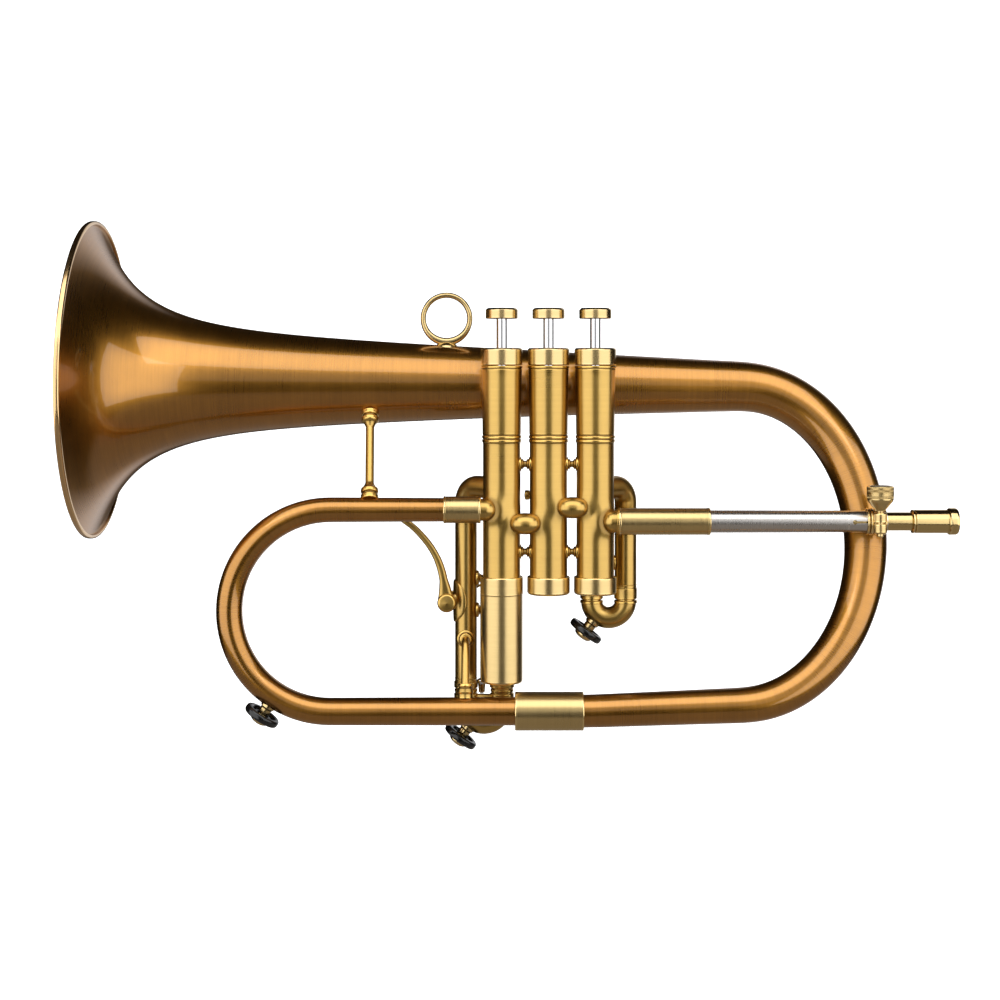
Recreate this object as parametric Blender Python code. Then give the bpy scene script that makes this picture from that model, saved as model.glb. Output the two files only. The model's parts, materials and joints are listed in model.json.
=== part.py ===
"""Flugelhorn, modelled as its separate pieces.

Frame: +X runs from the bell towards the mouthpiece, +Z runs up the valves towards the finger
buttons, and -Y is the player's left-hand side. The origin lies on the axis of valve 2, halfway up
the valve block, where the left hand holds the instrument. Lengths are in metres.
"""

import math

import bmesh
import bpy
from mathutils import Matrix, Vector

MM = 0.001

# Clearances
GAP = 0.3 * MM  # left between pieces that touch in the real instrument
WALL = 0.6 * MM  # drawn tube wall

# Bell: straight taper plus a flare that dies away along the axis
BELL_RIM_X = -228.6 * MM
BELL_AXIS_Y = 29.0 * MM
BELL_AXIS_RIM_Z = 45.35 * MM
BELL_AXIS_FALL = 0.0084  # the bell's axis drops this much per unit length towards the bow
BELL_BASE_RADIUS = 25.9 * MM
BELL_TAPER = 0.042
BELL_FLARE = 54.0 * MM
BELL_FLARE_LENGTH = 87.2 * MM
BELL_FLARE_POWER = -4.25
BELL_RIM_BEAD = 1.1 * MM
BELL_SIDES = 20
SEAM_X = 0.0  # the bell meets its bow behind valve 2

# Bell bow: top run, half ellipse, bottom run
BOW_TOP_X = 98.0 * MM
BOW_BOTTOM_X = 93.0 * MM
BOW_REACH_X = 157.9 * MM
BOW_TOP_Z = 42.0 * MM
BOW_BOTTOM_Z = -112.9 * MM
BOTTOM_RUN_Z = -115.7 * MM
BOW_TOP_RADIUS = 12.6 * MM
BOW_SIDE_RADIUS = 10.4 * MM
BOW_BOTTOM_RADIUS = 8.5 * MM
BOW_END_RADIUS = 7.75 * MM
TUBE_PLANE_Y = -7.0 * MM  # front bow, bottom run and mouthpipe lie in this plane

# Front bow
FRONT_BOW_CENTRE_X = -106.5 * MM
FRONT_BOW_CENTRE_Z = -66.8 * MM
FRONT_BOW_SIZE = 49.1 * MM
FRONT_BOW_RADII = (5.65 * MM, 6.4 * MM, 6.9 * MM)
FRONT_BOW_START_X = -33.4 * MM

# Valves
VALVE_PITCH = 22.95 * MM
VALVE_X = {1: VALVE_PITCH, 2: 0.0, 3: -VALVE_PITCH}
VALVE_SIDES = 14
STROKE = 14.0 * MM
CASING_RADIUS = 9.2 * MM
CASING_BORE = 8.45 * MM
BARREL_RADIUS = 9.7 * MM
BARREL_BORE = 8.9 * MM
CASING_BOTTOM_Z = -57.5 * MM
SHOULDER_Z = 17.0 * MM
CASING_TOP_Z = 52.3 * MM
PISTON_RADIUS = 8.15 * MM
PISTON_TOP_Z = 15.2 * MM
PISTON_BOTTOM_Z = -38.0 * MM
PASSAGE_RADIUS = 3.6 * MM
PORT_RADIUS = 4.2 * MM
STEM_RADIUS = 2.6 * MM
STEM_TOP_Z = 75.2 * MM
BUTTON_RADIUS = 7.9 * MM
BUTTON_TOP_Z = 80.7 * MM
TOP_CAP_RADIUS = 10.2 * MM
TOP_CAP_BOTTOM_Z = 52.7 * MM
TOP_CAP_TOP_Z = 61.1 * MM
BOTTOM_CAP_RADIUS = 10.45 * MM
BOTTOM_CAP_TOP_Z = -50.9 * MM
BOTTOM_CAP_BOTTOM_Z = -59.6 * MM
LONG_CAP_BOTTOM_Z = -102.8 * MM
SPRING_BOTTOM_Z = 18.8 * MM
SPRING_TOP_Z = 48.9 * MM
SPRING_TURNS = 4

# Knuckles between and beside the casings
KNUCKLE_Y = -7.2 * MM
OUTLET_Z = -17.7 * MM
INLET_Z = -23.4 * MM
CROSSOVER_23_Z = -24.4 * MM
CROSSOVER_12_Z = -16.6 * MM
CROSSOVER_SIZE = (7.1 * MM, 5.2 * MM, 5.2 * MM)
CROSSOVER_Y = -8.5 * MM
BRACE_UPPER_Z = 4.2 * MM
BRACE_LOWER_Z = -38.8 * MM

# Valve slides, all behind the casings
SLIDE_Y = 16.8 * MM
SLIDE_LEG_RADIUS = 5.6 * MM
SLIDE_BORE = 5.05 * MM
SLIDE_INNER_RADIUS = 4.7 * MM
SLIDE_BOW_RADIUS = 5.4 * MM
HIGH_PORT_Z = -7.7 * MM
LOW_PORT_Z = -27.0 * MM
FIRST_LEGS_X = (22.0 * MM, 39.0 * MM)
FIRST_LEG_BOTTOM_Z = -64.0 * MM
THIRD_LEGS_X = (-40.8 * MM, -22.8 * MM)
THIRD_LEG_BOTTOM_Z = -108.3 * MM
SECOND_DIRECTION = Vector((0.0, 1.0, 0.0))
SECOND_LEGS_Z = (-5.5 * MM, -22.5 * MM)
SECOND_LEG_END = 34.0 * MM  # measured from valve 2's axis along the slide

# Trigger of the third slide
TRIGGER_X = -50.2 * MM
TRIGGER_Z = -64.9 * MM
TRIGGER_PIN_X = -32.9 * MM
TRIGGER_PIN_Z = -55.8 * MM

# Mouthpipe, clamp and receiver
SLEEVE_START_X = 33.6 * MM
SLEEVE_END_X = 78.4 * MM
MOUTHPIPE_START_X = 34.0 * MM
MOUTHPIPE_END_X = 164.0 * MM
CLAMP_X = (154.6 * MM, 163.6 * MM)
SCREW_X = 159.4 * MM
SCREW_Y = -15.8 * MM
RECEIVER_INNER_X = 128.0 * MM
RECEIVER_STEP_X = 176.6 * MM
RECEIVER_RING_X = 194.3 * MM
RECEIVER_END_X = 198.7 * MM

# Colours
ROSE_BRASS = (0.31, 0.145, 0.045)
ANTIQUE_BRASS = (0.42, 0.27, 0.085)
PALE_BRASS = (0.66, 0.47, 0.19)
NICKEL_SILVER = (0.52, 0.49, 0.46)
STEEL = (0.62, 0.62, 0.64)
BLACK_RUBBER = (0.012, 0.012, 0.013)


def clear_scene():
    for obj in list(bpy.data.objects):
        bpy.data.objects.remove(obj)


def finish(obj, color, roughness=0.32, metallic=1.0):
    """Gives a piece its own material and smooth shading with sharp edges kept."""
    material = bpy.data.materials.new(obj.name)
    material.use_nodes = True
    shader = material.node_tree.nodes["Principled BSDF"]
    shader.inputs["Base Color"].default_value = (*color, 1.0)
    shader.inputs["Roughness"].default_value = roughness
    shader.inputs["Metallic"].default_value = metallic
    obj.data.materials.clear()
    obj.data.materials.append(material)
    obj.data.shade_smooth()
    obj.data.set_sharp_from_angle(angle=math.radians(35))
    return obj


def link(name, mesh):
    obj = bpy.data.objects.new(name, mesh)
    bpy.context.scene.collection.objects.link(obj)
    return obj


def frame_along(origin, direction):
    """Matrix that stands local +Z along direction at origin."""
    turn = Vector(direction).to_track_quat("Z", "Y").to_matrix().to_4x4()
    return Matrix.Translation(Vector(origin)) @ turn


def turned(name, profile, origin=(0, 0, 0), direction=(0, 0, 1), sides=16, ring=False):
    """A turned piece: (radius, height) points spun about an axis.

    A ring profile is a closed outline clear of the axis; any other profile starts and ends on it.
    """
    shape = bmesh.new()
    points = [shape.verts.new((radius, 0, height)) for radius, height in profile]
    pairs = list(zip(points, points[1:]))
    if ring:
        pairs.append((points[-1], points[0]))
    edges = [shape.edges.new(pair) for pair in pairs]
    bmesh.ops.spin(
        shape,
        geom=points + edges,
        cent=(0, 0, 0),
        axis=(0, 0, 1),
        angle=math.tau,
        steps=sides,
        use_merge=True,
    )
    bmesh.ops.remove_doubles(shape, verts=shape.verts, dist=1e-6)
    bmesh.ops.recalc_face_normals(shape, faces=shape.faces)
    mesh = bpy.data.meshes.new(name)
    shape.to_mesh(mesh)
    shape.free()
    obj = link(name, mesh)
    obj.matrix_world = frame_along(origin, direction)
    return obj


def sleeve(name, start, end, outer, inner, sides=16):
    """A plain hollow cylinder between two points."""
    start, end = Vector(start), Vector(end)
    length = (end - start).length
    outline = [(outer, 0), (outer, length), (inner, length), (inner, 0)]
    return turned(name, outline, start, end - start, sides, ring=True)


def rod(name, start, end, radius, sides=12):
    """A plain solid cylinder between two points."""
    start, end = Vector(start), Vector(end)
    length = (end - start).length
    outline = [(0, 0), (radius, 0), (radius, length), (0, length)]
    return turned(name, outline, start, end - start, sides)


def block(name, low, high):
    """A box between two opposite corners."""
    shape = bmesh.new()
    bmesh.ops.create_cube(shape, size=1.0)
    low, high = Vector(low), Vector(high)
    place = Matrix.Translation((low + high) / 2) @ Matrix.Diagonal((*(high - low), 1.0))
    bmesh.ops.transform(shape, matrix=place, verts=shape.verts)
    mesh = bpy.data.meshes.new(name)
    shape.to_mesh(mesh)
    shape.free()
    return link(name, mesh)


def bent_tube(name, points, radii, wall=None, sides=12):
    """A tube along a path, with a radius at each point: solid, or hollow when wall is given."""
    curve = bpy.data.curves.new(name, "CURVE")
    curve.dimensions = "3D"
    curve.bevel_depth = MM
    curve.bevel_resolution = sides // 2 - 2
    curve.use_fill_caps = wall is None
    spline = curve.splines.new("POLY")
    spline.points.add(len(points) - 1)
    for knot, place, radius in zip(spline.points, points, radii):
        knot.co = (*place, 1.0)
        knot.radius = radius / MM
    guide = link(name + "_guide", curve)
    evaluated = guide.evaluated_get(bpy.context.evaluated_depsgraph_get())
    mesh = bpy.data.meshes.new_from_object(evaluated)
    bpy.data.objects.remove(guide)
    shape = bmesh.new()
    shape.from_mesh(mesh)
    bmesh.ops.remove_doubles(shape, verts=shape.verts, dist=1e-6)
    bmesh.ops.recalc_face_normals(shape, faces=shape.faces)
    shape.to_mesh(mesh)
    shape.free()
    obj = link(name, mesh)
    if wall is not None:
        shell = obj.modifiers.new("wall", "SOLIDIFY")
        shell.thickness = wall
        shell.offset = -1.0
    return obj


def combine(obj, other, operation):
    """Adds or takes away a helper shape, which itself stays out of the model."""
    other.hide_render = True
    other.display_type = "WIRE"
    step = obj.modifiers.new(other.name, "BOOLEAN")
    step.operation = operation
    step.object = other
    step.solver = "EXACT"


def add(obj, other):
    combine(obj, other, "UNION")


def cut(obj, other):
    combine(obj, other, "DIFFERENCE")


def cope(obj, start, end, radius):
    """Hollows the end of a piece to sit on a round tube, a clearance away from it."""
    cut(obj, rod(obj.name + "_cope", start, end, (radius + GAP) / math.cos(math.pi / 24), 24))


def arc(centre, first, second, start, end, steps):
    """Points on an arc: centre + first * cos(angle) + second * sin(angle)."""
    centre, first, second = Vector(centre), Vector(first), Vector(second)
    angles = [start + (end - start) * i / steps for i in range(steps + 1)]
    return [centre + first * math.cos(angle) + second * math.sin(angle) for angle in angles]


def graded(points, stations):
    """A radius for each point, from (share of the path's length, radius) stations."""
    lengths = [0.0]
    for before, after in zip(points, points[1:]):
        lengths.append(lengths[-1] + (after - before).length)
    radii = []
    for length in lengths:
        share = length / lengths[-1]
        for (low, first), (high, second) in zip(stations, stations[1:]):
            if low <= share <= high:
                radii.append(first + (second - first) * (share - low) / (high - low))
                break
    return radii


# Bell


def bell_axis_z(x):
    return BELL_AXIS_RIM_Z - BELL_AXIS_FALL * (x - BELL_RIM_X)


def bell_radius(x):
    along = x - BELL_RIM_X
    flare = BELL_FLARE * (1 + along / BELL_FLARE_LENGTH) ** BELL_FLARE_POWER
    return BELL_BASE_RADIUS - BELL_TAPER * along + flare


def make_bell():
    """Flared shell with a rolled wire rim, its wall offset square to the flare."""
    length = SEAM_X - GAP - BELL_RIM_X
    steps = 13
    alongs = [length * (i / steps) ** 2.2 for i in range(steps + 1)]
    outer, inner = [], []
    for along in alongs:
        x = BELL_RIM_X + along
        radius = bell_radius(x)
        slope = (bell_radius(x + MM) - radius) / MM
        scale = WALL / math.hypot(1, slope)
        outer.append((radius, along))
        inner.append((radius - scale, along + scale * slope))
    inner[-1] = (inner[-1][0], alongs[-1])
    bead = BELL_RIM_BEAD
    rim = bell_radius(BELL_RIM_X)
    lip = [(rim - 1.6 * bead, -0.3 * bead), (rim - 1.1 * bead, -bead), (rim - 0.2 * bead, -bead)]
    profile = lip + outer + inner[:0:-1]
    direction = (1.0, 0.0, -BELL_AXIS_FALL)
    origin = (BELL_RIM_X, BELL_AXIS_Y, BELL_AXIS_RIM_Z)
    finish(turned("bell", profile, origin, direction, BELL_SIDES, ring=True), ROSE_BRASS)


def bell_bow_path():
    """Top run, then a half ellipse that leans towards the player's left, then the bottom run."""
    top = Vector((BOW_TOP_X, BELL_AXIS_Y, BOW_TOP_Z))
    bottom = Vector((BOW_BOTTOM_X, TUBE_PLANE_Y, BOW_BOTTOM_Z))
    middle = (top + bottom) / 2
    reach = Vector((BOW_REACH_X - middle.x, 0, 0))
    start = Vector((SEAM_X + GAP, BELL_AXIS_Y, bell_axis_z(SEAM_X)))
    level = Vector((20.0 * MM, TUBE_PLANE_Y, BOTTOM_RUN_Z))
    end = Vector((SEAM_X + 2 * GAP, TUBE_PLANE_Y, BOTTOM_RUN_Z))
    return [start] + arc(middle, top - middle, reach, 0, math.pi, 16) + [level, end]


def make_bell_bow():
    points = bell_bow_path()
    stations = [
        (0.0, bell_radius(SEAM_X)),
        (0.24, BOW_TOP_RADIUS),
        (0.51, BOW_SIDE_RADIUS),
        (0.78, BOW_BOTTOM_RADIUS),
        (1.0, BOW_END_RADIUS),
    ]
    finish(bent_tube("bell_bow", points, graded(points, stations), WALL, 14), ROSE_BRASS)


def make_front_bow():
    """Top run from valve 3, half circle, bottom run to the bow ferrule."""
    centre = Vector((FRONT_BOW_CENTRE_X, TUBE_PLANE_Y, FRONT_BOW_CENTRE_Z))
    up = Vector((0, 0, FRONT_BOW_SIZE))
    back = Vector((-FRONT_BOW_SIZE, 0, 0))
    start = Vector((FRONT_BOW_START_X, TUBE_PLANE_Y, OUTLET_Z))
    end = Vector((SEAM_X - GAP, TUBE_PLANE_Y, BOTTOM_RUN_Z))
    points = [start] + arc(centre, up, back, 0, math.pi, 14) + [end]
    first, middle, last = FRONT_BOW_RADII
    stations = [(0.0, first), (0.45, middle), (1.0, last)]
    finish(bent_tube("front_bow", points, graded(points, stations), WALL, 10), ROSE_BRASS)


def make_ferrules():
    run = (TUBE_PLANE_Y, BOTTOM_RUN_Z)
    bow = sleeve("bow_ferrule", (-16.5 * MM, *run), (16.8 * MM, *run), 9.3 * MM, 8.35 * MM)
    finish(bow, PALE_BRASS, 0.25)
    run = (TUBE_PLANE_Y, OUTLET_Z)
    front = sleeve("front_ferrule", (-51.3 * MM, *run), (-33.2 * MM, *run), 6.6 * MM, 6.05 * MM)
    finish(front, ANTIQUE_BRASS)


def make_finger_ring():
    """Ring for the right little finger, standing on the bell's top."""
    centre = Vector((-50.9 * MM, BELL_AXIS_Y, 76.6 * MM))
    outline = arc((11.8 * MM, 0, 0), (1.4 * MM, 0, 0), (0, 0, 1.4 * MM), 0, math.tau, 6)[:-1]
    profile = [(point.x, point.z) for point in outline]
    ring = turned("finger_ring", profile, centre, (0, 1, 0), 18, ring=True)
    foot_low = Vector((centre.x, centre.y, 63.4 * MM))
    foot_high = foot_low + Vector((0, 0, 2.0 * MM))
    add(ring, rod("finger_ring_foot", foot_low, foot_high, 3.6 * MM))
    finish(ring, PALE_BRASS, 0.22)


def bell_cope(obj, x):
    """Fits a piece to the bell's outside near x."""
    half = 12 * MM
    centre = (BELL_AXIS_Y, bell_axis_z(x))
    cope(obj, (x - half, *centre), (x + half, *centre), bell_radius(x - 4 * MM))


def make_bell_brace():
    """Turned strut from the front bow's top run to the underside of the bell."""
    low = Vector((-87.3 * MM, TUBE_PLANE_Y, OUTLET_Z))
    high = Vector((-88.6 * MM, 15.0 * MM, 29.6 * MM))
    length = (high - low).length
    foot, waist = 4.3 * MM, 2.1 * MM
    profile = [
        (0, 3.0 * MM),
        (foot, 3.0 * MM),
        (foot, 8.0 * MM),
        (waist, 11.0 * MM),
        (waist, length - 9.0 * MM),
        (foot, length - 6.0 * MM),
        (foot, length),
        (0, length),
    ]
    brace = turned("bell_brace", profile, low, high - low, 12)
    run_low = (low.x - 12 * MM, TUBE_PLANE_Y, OUTLET_Z)
    run_high = (low.x + 12 * MM, TUBE_PLANE_Y, OUTLET_Z)
    cope(brace, run_low, run_high, 5.9 * MM)
    bell_cope(brace, high.x)
    finish(brace, ANTIQUE_BRASS)


def make_valve_bell_brace():
    """Short stay that ties the valve block to the bell, behind casing 3."""
    x = VALVE_X[3]
    height = 31.0 * MM
    start, end = (x, 8.0 * MM, height), (x, 20.0 * MM, height)
    brace = rod("valve_bell_brace", start, end, 4.0 * MM)
    cope(brace, (x, 0, height - 12 * MM), (x, 0, height + 12 * MM), BARREL_RADIUS)
    bell_cope(brace, x)
    finish(brace, ANTIQUE_BRASS)


# Valves


def casing_ports(number):
    """Ports of a valve as (angle about its axis in degrees, height) pairs.

    They come in the order inlet, outlet, slide in, slide out.
    """
    second_angle = math.degrees(math.atan2(SECOND_DIRECTION.y, SECOND_DIRECTION.x))
    return {
        1: [(-43, INLET_Z), (212, CROSSOVER_12_Z), (46, HIGH_PORT_Z), (93, LOW_PORT_Z)],
        2: [(-32, CROSSOVER_12_Z), (213, CROSSOVER_23_Z)]
        + [(second_angle, height) for height in SECOND_LEGS_Z],
        3: [(-33, CROSSOVER_23_Z), (228, OUTLET_Z), (137, HIGH_PORT_Z), (89, LOW_PORT_Z)],
    }[number]


def at_angle(number, angle, distance, height):
    turn = math.radians(angle)
    return Vector((VALVE_X[number] + distance * math.cos(turn), distance * math.sin(turn), height))


def knuckle(name, x, tip_x, height, radius):
    """Rounded elbow that carries a tube into the front of a casing: flat at x, domed at tip_x."""
    reach = abs(tip_x - x)
    profile = [(0, 0), (0.85 * radius, 0), (radius, 0.3 * reach)]
    for i in range(1, 4):
        angle = math.pi / 2 * i / 3
        profile.append((radius * math.cos(angle), (0.3 + 0.7 * math.sin(angle)) * reach))
    profile[-1] = (0, reach)
    direction = (1 if tip_x > x else -1, 0, 0)
    return turned(name, profile, (x, KNUCKLE_Y, height), direction, 12)


def make_casing(number):
    """Lower casing with its ports, a double ring, and the wider spring barrel above."""
    x = VALVE_X[number]
    profile = [
        (0, CASING_BOTTOM_Z),
        (CASING_RADIUS, CASING_BOTTOM_Z),
        (CASING_RADIUS, 15.8 * MM),
        (9.6 * MM, 16.4 * MM),
        (9.6 * MM, 18.2 * MM),
        (9.35 * MM, 18.8 * MM),
        (BARREL_RADIUS, 46.0 * MM),
        (10.15 * MM, 51.3 * MM),
        (10.15 * MM, CASING_TOP_Z),
        (0, CASING_TOP_Z),
    ]
    bore = [
        (0, CASING_BOTTOM_Z - MM),
        (CASING_BORE, CASING_BOTTOM_Z - MM),
        (CASING_BORE, SHOULDER_Z),
        (BARREL_BORE, SHOULDER_Z),
        (BARREL_BORE, CASING_TOP_Z + MM),
        (0, CASING_TOP_Z + MM),
    ]
    casing = turned(f"valve_casing_{number}", profile, (x, 0, 0), sides=VALVE_SIDES)
    ports = casing_ports(number)
    if number == 1:
        add(casing, knuckle("inlet_knuckle", 33.3 * MM, 26.4 * MM, INLET_Z, 5.85 * MM))
        start, end = (35.0 * MM, KNUCKLE_Y, INLET_Z), (22.0 * MM, KNUCKLE_Y, INLET_Z)
        cut(casing, rod("inlet_bore", start, end, PORT_RADIUS, 10))
        ports = ports[1:]
    if number == 3:
        add(casing, knuckle("outlet_knuckle", -32.9 * MM, -25.4 * MM, OUTLET_Z, 5.4 * MM))
        start, end = (-35.0 * MM, KNUCKLE_Y, OUTLET_Z), (-22.0 * MM, KNUCKLE_Y, OUTLET_Z)
        cut(casing, rod("outlet_bore", start, end, PORT_RADIUS, 10))
        ports = [ports[0]] + ports[2:]
    if number == 2:
        for height in SECOND_LEGS_Z:
            start = SECOND_DIRECTION * 8.9 * MM + Vector((0, 0, height))
            end = SECOND_DIRECTION * SECOND_LEG_END + Vector((0, 0, height))
            add(casing, rod("second_leg", start, end, SLIDE_LEG_RADIUS, 10))
            far = SECOND_DIRECTION * (SECOND_LEG_END + MM) + Vector((0, 0, height))
            near = SECOND_DIRECTION * 5.0 * MM + Vector((0, 0, height))
            cut(casing, rod("second_leg_bore", near, far, SLIDE_BORE, 10))
        ports = ports[:2]
    cut(casing, turned(f"bore_{number}", bore, (x, 0, 0), sides=VALVE_SIDES))
    for angle, height in ports:
        near, far = at_angle(number, angle, 5 * MM, height), at_angle(number, angle, 12 * MM, height)
        cut(casing, rod(f"port_{number}", near, far, PORT_RADIUS, 10))
    finish(casing, ANTIQUE_BRASS)


def make_piston(number):
    """Piston with its three windways: one open at rest, two that open when the valve is down."""
    x = VALVE_X[number]
    profile = [
        (0, PISTON_TOP_Z),
        (PISTON_RADIUS, PISTON_TOP_Z),
        (PISTON_RADIUS, PISTON_BOTTOM_Z),
        (6.6 * MM, PISTON_BOTTOM_Z),
        (6.6 * MM, PISTON_BOTTOM_Z + 6 * MM),
        (0, PISTON_BOTTOM_Z + 6 * MM),
    ]
    piston = turned(f"piston_{number}", profile, (x, 0, 0), sides=VALVE_SIDES)
    inlet, outlet, slide_in, slide_out = casing_ports(number)
    for first, second, lift in (
        (inlet, outlet, 0),
        (inlet, slide_in, STROKE),
        (slide_out, outlet, STROKE),
    ):
        start = at_angle(number, first[0], 7.0 * MM, first[1] + lift)
        end = at_angle(number, second[0], 7.0 * MM, second[1] + lift)
        reach = (end - start).normalized() * 3 * MM
        cut(piston, rod(f"windway_{number}", start - reach, end + reach, PASSAGE_RADIUS, 8))
    finish(piston, NICKEL_SILVER, 0.2)


def make_valve(number):
    """Everything on one valve's axis apart from its casing and piston."""
    place = (VALVE_X[number], 0, 0)
    stem = [
        (0, PISTON_TOP_Z + GAP),
        (STEM_RADIUS, PISTON_TOP_Z + GAP),
        (STEM_RADIUS, 49.2 * MM),
        (7.2 * MM, 49.2 * MM),
        (7.2 * MM, 50.6 * MM),
        (STEM_RADIUS, 50.6 * MM),
        (STEM_RADIUS, STEM_TOP_Z),
        (0, STEM_TOP_Z),
    ]
    finish(turned(f"stem_{number}", stem, place, sides=10), STEEL, 0.12)
    chamfer = 0.9 * MM
    button_low = STEM_TOP_Z + GAP
    button = [
        (0, button_low),
        (BUTTON_RADIUS, button_low),
        (BUTTON_RADIUS, BUTTON_TOP_Z - chamfer),
        (BUTTON_RADIUS - 1.4 * chamfer, BUTTON_TOP_Z),
        (0, BUTTON_TOP_Z),
    ]
    finish(turned(f"finger_button_{number}", button, place, sides=VALVE_SIDES), PALE_BRASS, 0.2)
    top_cap = [
        (3.1 * MM, TOP_CAP_TOP_Z),
        (TOP_CAP_RADIUS - 0.5 * MM, TOP_CAP_TOP_Z),
        (TOP_CAP_RADIUS, TOP_CAP_TOP_Z - 0.5 * MM),
        (TOP_CAP_RADIUS, TOP_CAP_BOTTOM_Z),
        (9.0 * MM, TOP_CAP_BOTTOM_Z),
        (9.0 * MM, TOP_CAP_TOP_Z - 1.8 * MM),
        (3.1 * MM, TOP_CAP_TOP_Z - 1.8 * MM),
    ]
    finish(turned(f"top_cap_{number}", top_cap, place, sides=VALVE_SIDES, ring=True), PALE_BRASS, 0.22)
    low = LONG_CAP_BOTTOM_Z if number == 3 else BOTTOM_CAP_BOTTOM_Z
    bottom_cap = [
        (0, low),
        (BOTTOM_CAP_RADIUS - 0.5 * MM, low),
        (BOTTOM_CAP_RADIUS, low + 0.5 * MM),
        (BOTTOM_CAP_RADIUS, BOTTOM_CAP_TOP_Z),
        (CASING_RADIUS + 1.2 * GAP, BOTTOM_CAP_TOP_Z),
        (CASING_RADIUS + 1.2 * GAP, low + 1.3 * MM),
        (0, low + 1.3 * MM),
    ]
    finish(turned(f"bottom_cap_{number}", bottom_cap, place, sides=VALVE_SIDES), PALE_BRASS, 0.22)
    guide = [
        (3.1 * MM, SHOULDER_Z + GAP),
        (BARREL_BORE - 1.5 * GAP, SHOULDER_Z + GAP),
        (BARREL_BORE - 1.5 * GAP, SPRING_BOTTOM_Z - GAP),
        (3.1 * MM, SPRING_BOTTOM_Z - GAP),
    ]
    finish(turned(f"valve_guide_{number}", guide, place, sides=VALVE_SIDES, ring=True), PALE_BRASS)
    wire = 0.45 * MM
    steps = 8 * SPRING_TURNS
    low, high = SPRING_BOTTOM_Z + wire, SPRING_TOP_Z - wire
    coil = [
        at_angle(number, 45 * i, 6.2 * MM, low + (high - low) * i / steps) for i in range(steps + 1)
    ]
    finish(bent_tube(f"valve_spring_{number}", coil, [wire] * len(coil), sides=4), STEEL, 0.2)


def make_crossover(name, first, second, height):
    """Bulged link tube between two casings, on the player's left side."""
    shape = bmesh.new()
    bmesh.ops.create_uvsphere(shape, u_segments=12, v_segments=8, radius=1.0)
    middle = ((VALVE_X[first] + VALVE_X[second]) / 2, CROSSOVER_Y, height)
    place = Matrix.Translation(middle) @ Matrix.Diagonal((*CROSSOVER_SIZE, 1.0))
    bmesh.ops.transform(shape, matrix=place, verts=shape.verts)
    mesh = bpy.data.meshes.new(name)
    shape.to_mesh(mesh)
    shape.free()
    obj = link(name, mesh)
    for number in (first, second):
        x = VALVE_X[number]
        cope(obj, (x, 0, height - 8 * MM), (x, 0, height + 8 * MM), CASING_RADIUS)
    finish(obj, ANTIQUE_BRASS)


def make_casing_brace(name, first, second, height):
    """Dog-bone stay between two casings."""
    half = VALVE_PITCH / 2 - CASING_RADIUS - GAP
    flange, waist = 3.4 * MM, 1.6 * MM
    profile = [(0, -half), (flange, -half), (waist, 0), (flange, half), (0, half)]
    middle = ((VALVE_X[first] + VALVE_X[second]) / 2, 0, height)
    finish(turned(name, profile, middle, (1, 0, 0), 10), ANTIQUE_BRASS)


def make_valve_block():
    for number in VALVE_X:
        make_casing(number)
        make_piston(number)
        make_valve(number)
    make_crossover("crossover_12", 1, 2, CROSSOVER_12_Z)
    make_crossover("crossover_23", 2, 3, CROSSOVER_23_Z)
    make_casing_brace("casing_brace_12_upper", 1, 2, BRACE_UPPER_Z)
    make_casing_brace("casing_brace_12_lower", 1, 2, BRACE_LOWER_Z)
    make_casing_brace("casing_brace_23_upper", 2, 3, BRACE_UPPER_Z)
    make_casing_brace("casing_brace_23_lower", 2, 3, BRACE_LOWER_Z)


# Slides


def make_slide_leg(name, number, x, bottom, port, bend):
    """Outer leg: straight up, then a quarter bend towards the casing, ending on its surface."""
    axis = Vector((VALVE_X[number], 0, 0))
    inward = axis - Vector((x, SLIDE_Y, 0))
    reach = inward.length - CASING_RADIUS - GAP
    inward.normalize()
    corner = Vector((x, SLIDE_Y, port - bend)) + inward * bend
    points = [Vector((x, SLIDE_Y, bottom))]
    points += arc(corner, -inward * bend, (0, 0, bend), 0, math.pi / 2, 4)
    points.append(Vector((x, SLIDE_Y, port)) + inward * reach)
    radii = [SLIDE_LEG_RADIUS] * len(points)
    wall = SLIDE_LEG_RADIUS - SLIDE_BORE
    finish(bent_tube(name, points, radii, wall, 10), ANTIQUE_BRASS)


def u_slide(name, first, second, outward, inner_length, step):
    """A slide: two thin inner legs, each stepping up to the bow that joins them.

    first and second are the centres of the outer legs' open ends; outward is the way it pulls out.
    """
    middle = (first + second) / 2
    radius = (first - second).length / 2
    start = middle + outward * step
    bend = arc(start, first - middle, outward * radius, 0, math.pi, 8)
    low, high = outward * GAP, outward * 0.6 * MM
    points = [first - outward * inner_length, first + low, first + high] + bend
    points += [second + high, second + low, second - outward * inner_length]
    thin = [SLIDE_INNER_RADIUS] * 2
    radii = thin + [SLIDE_BOW_RADIUS] * (len(points) - 4) + thin
    return bent_tube(name, points, radii, WALL, 10)


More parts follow.
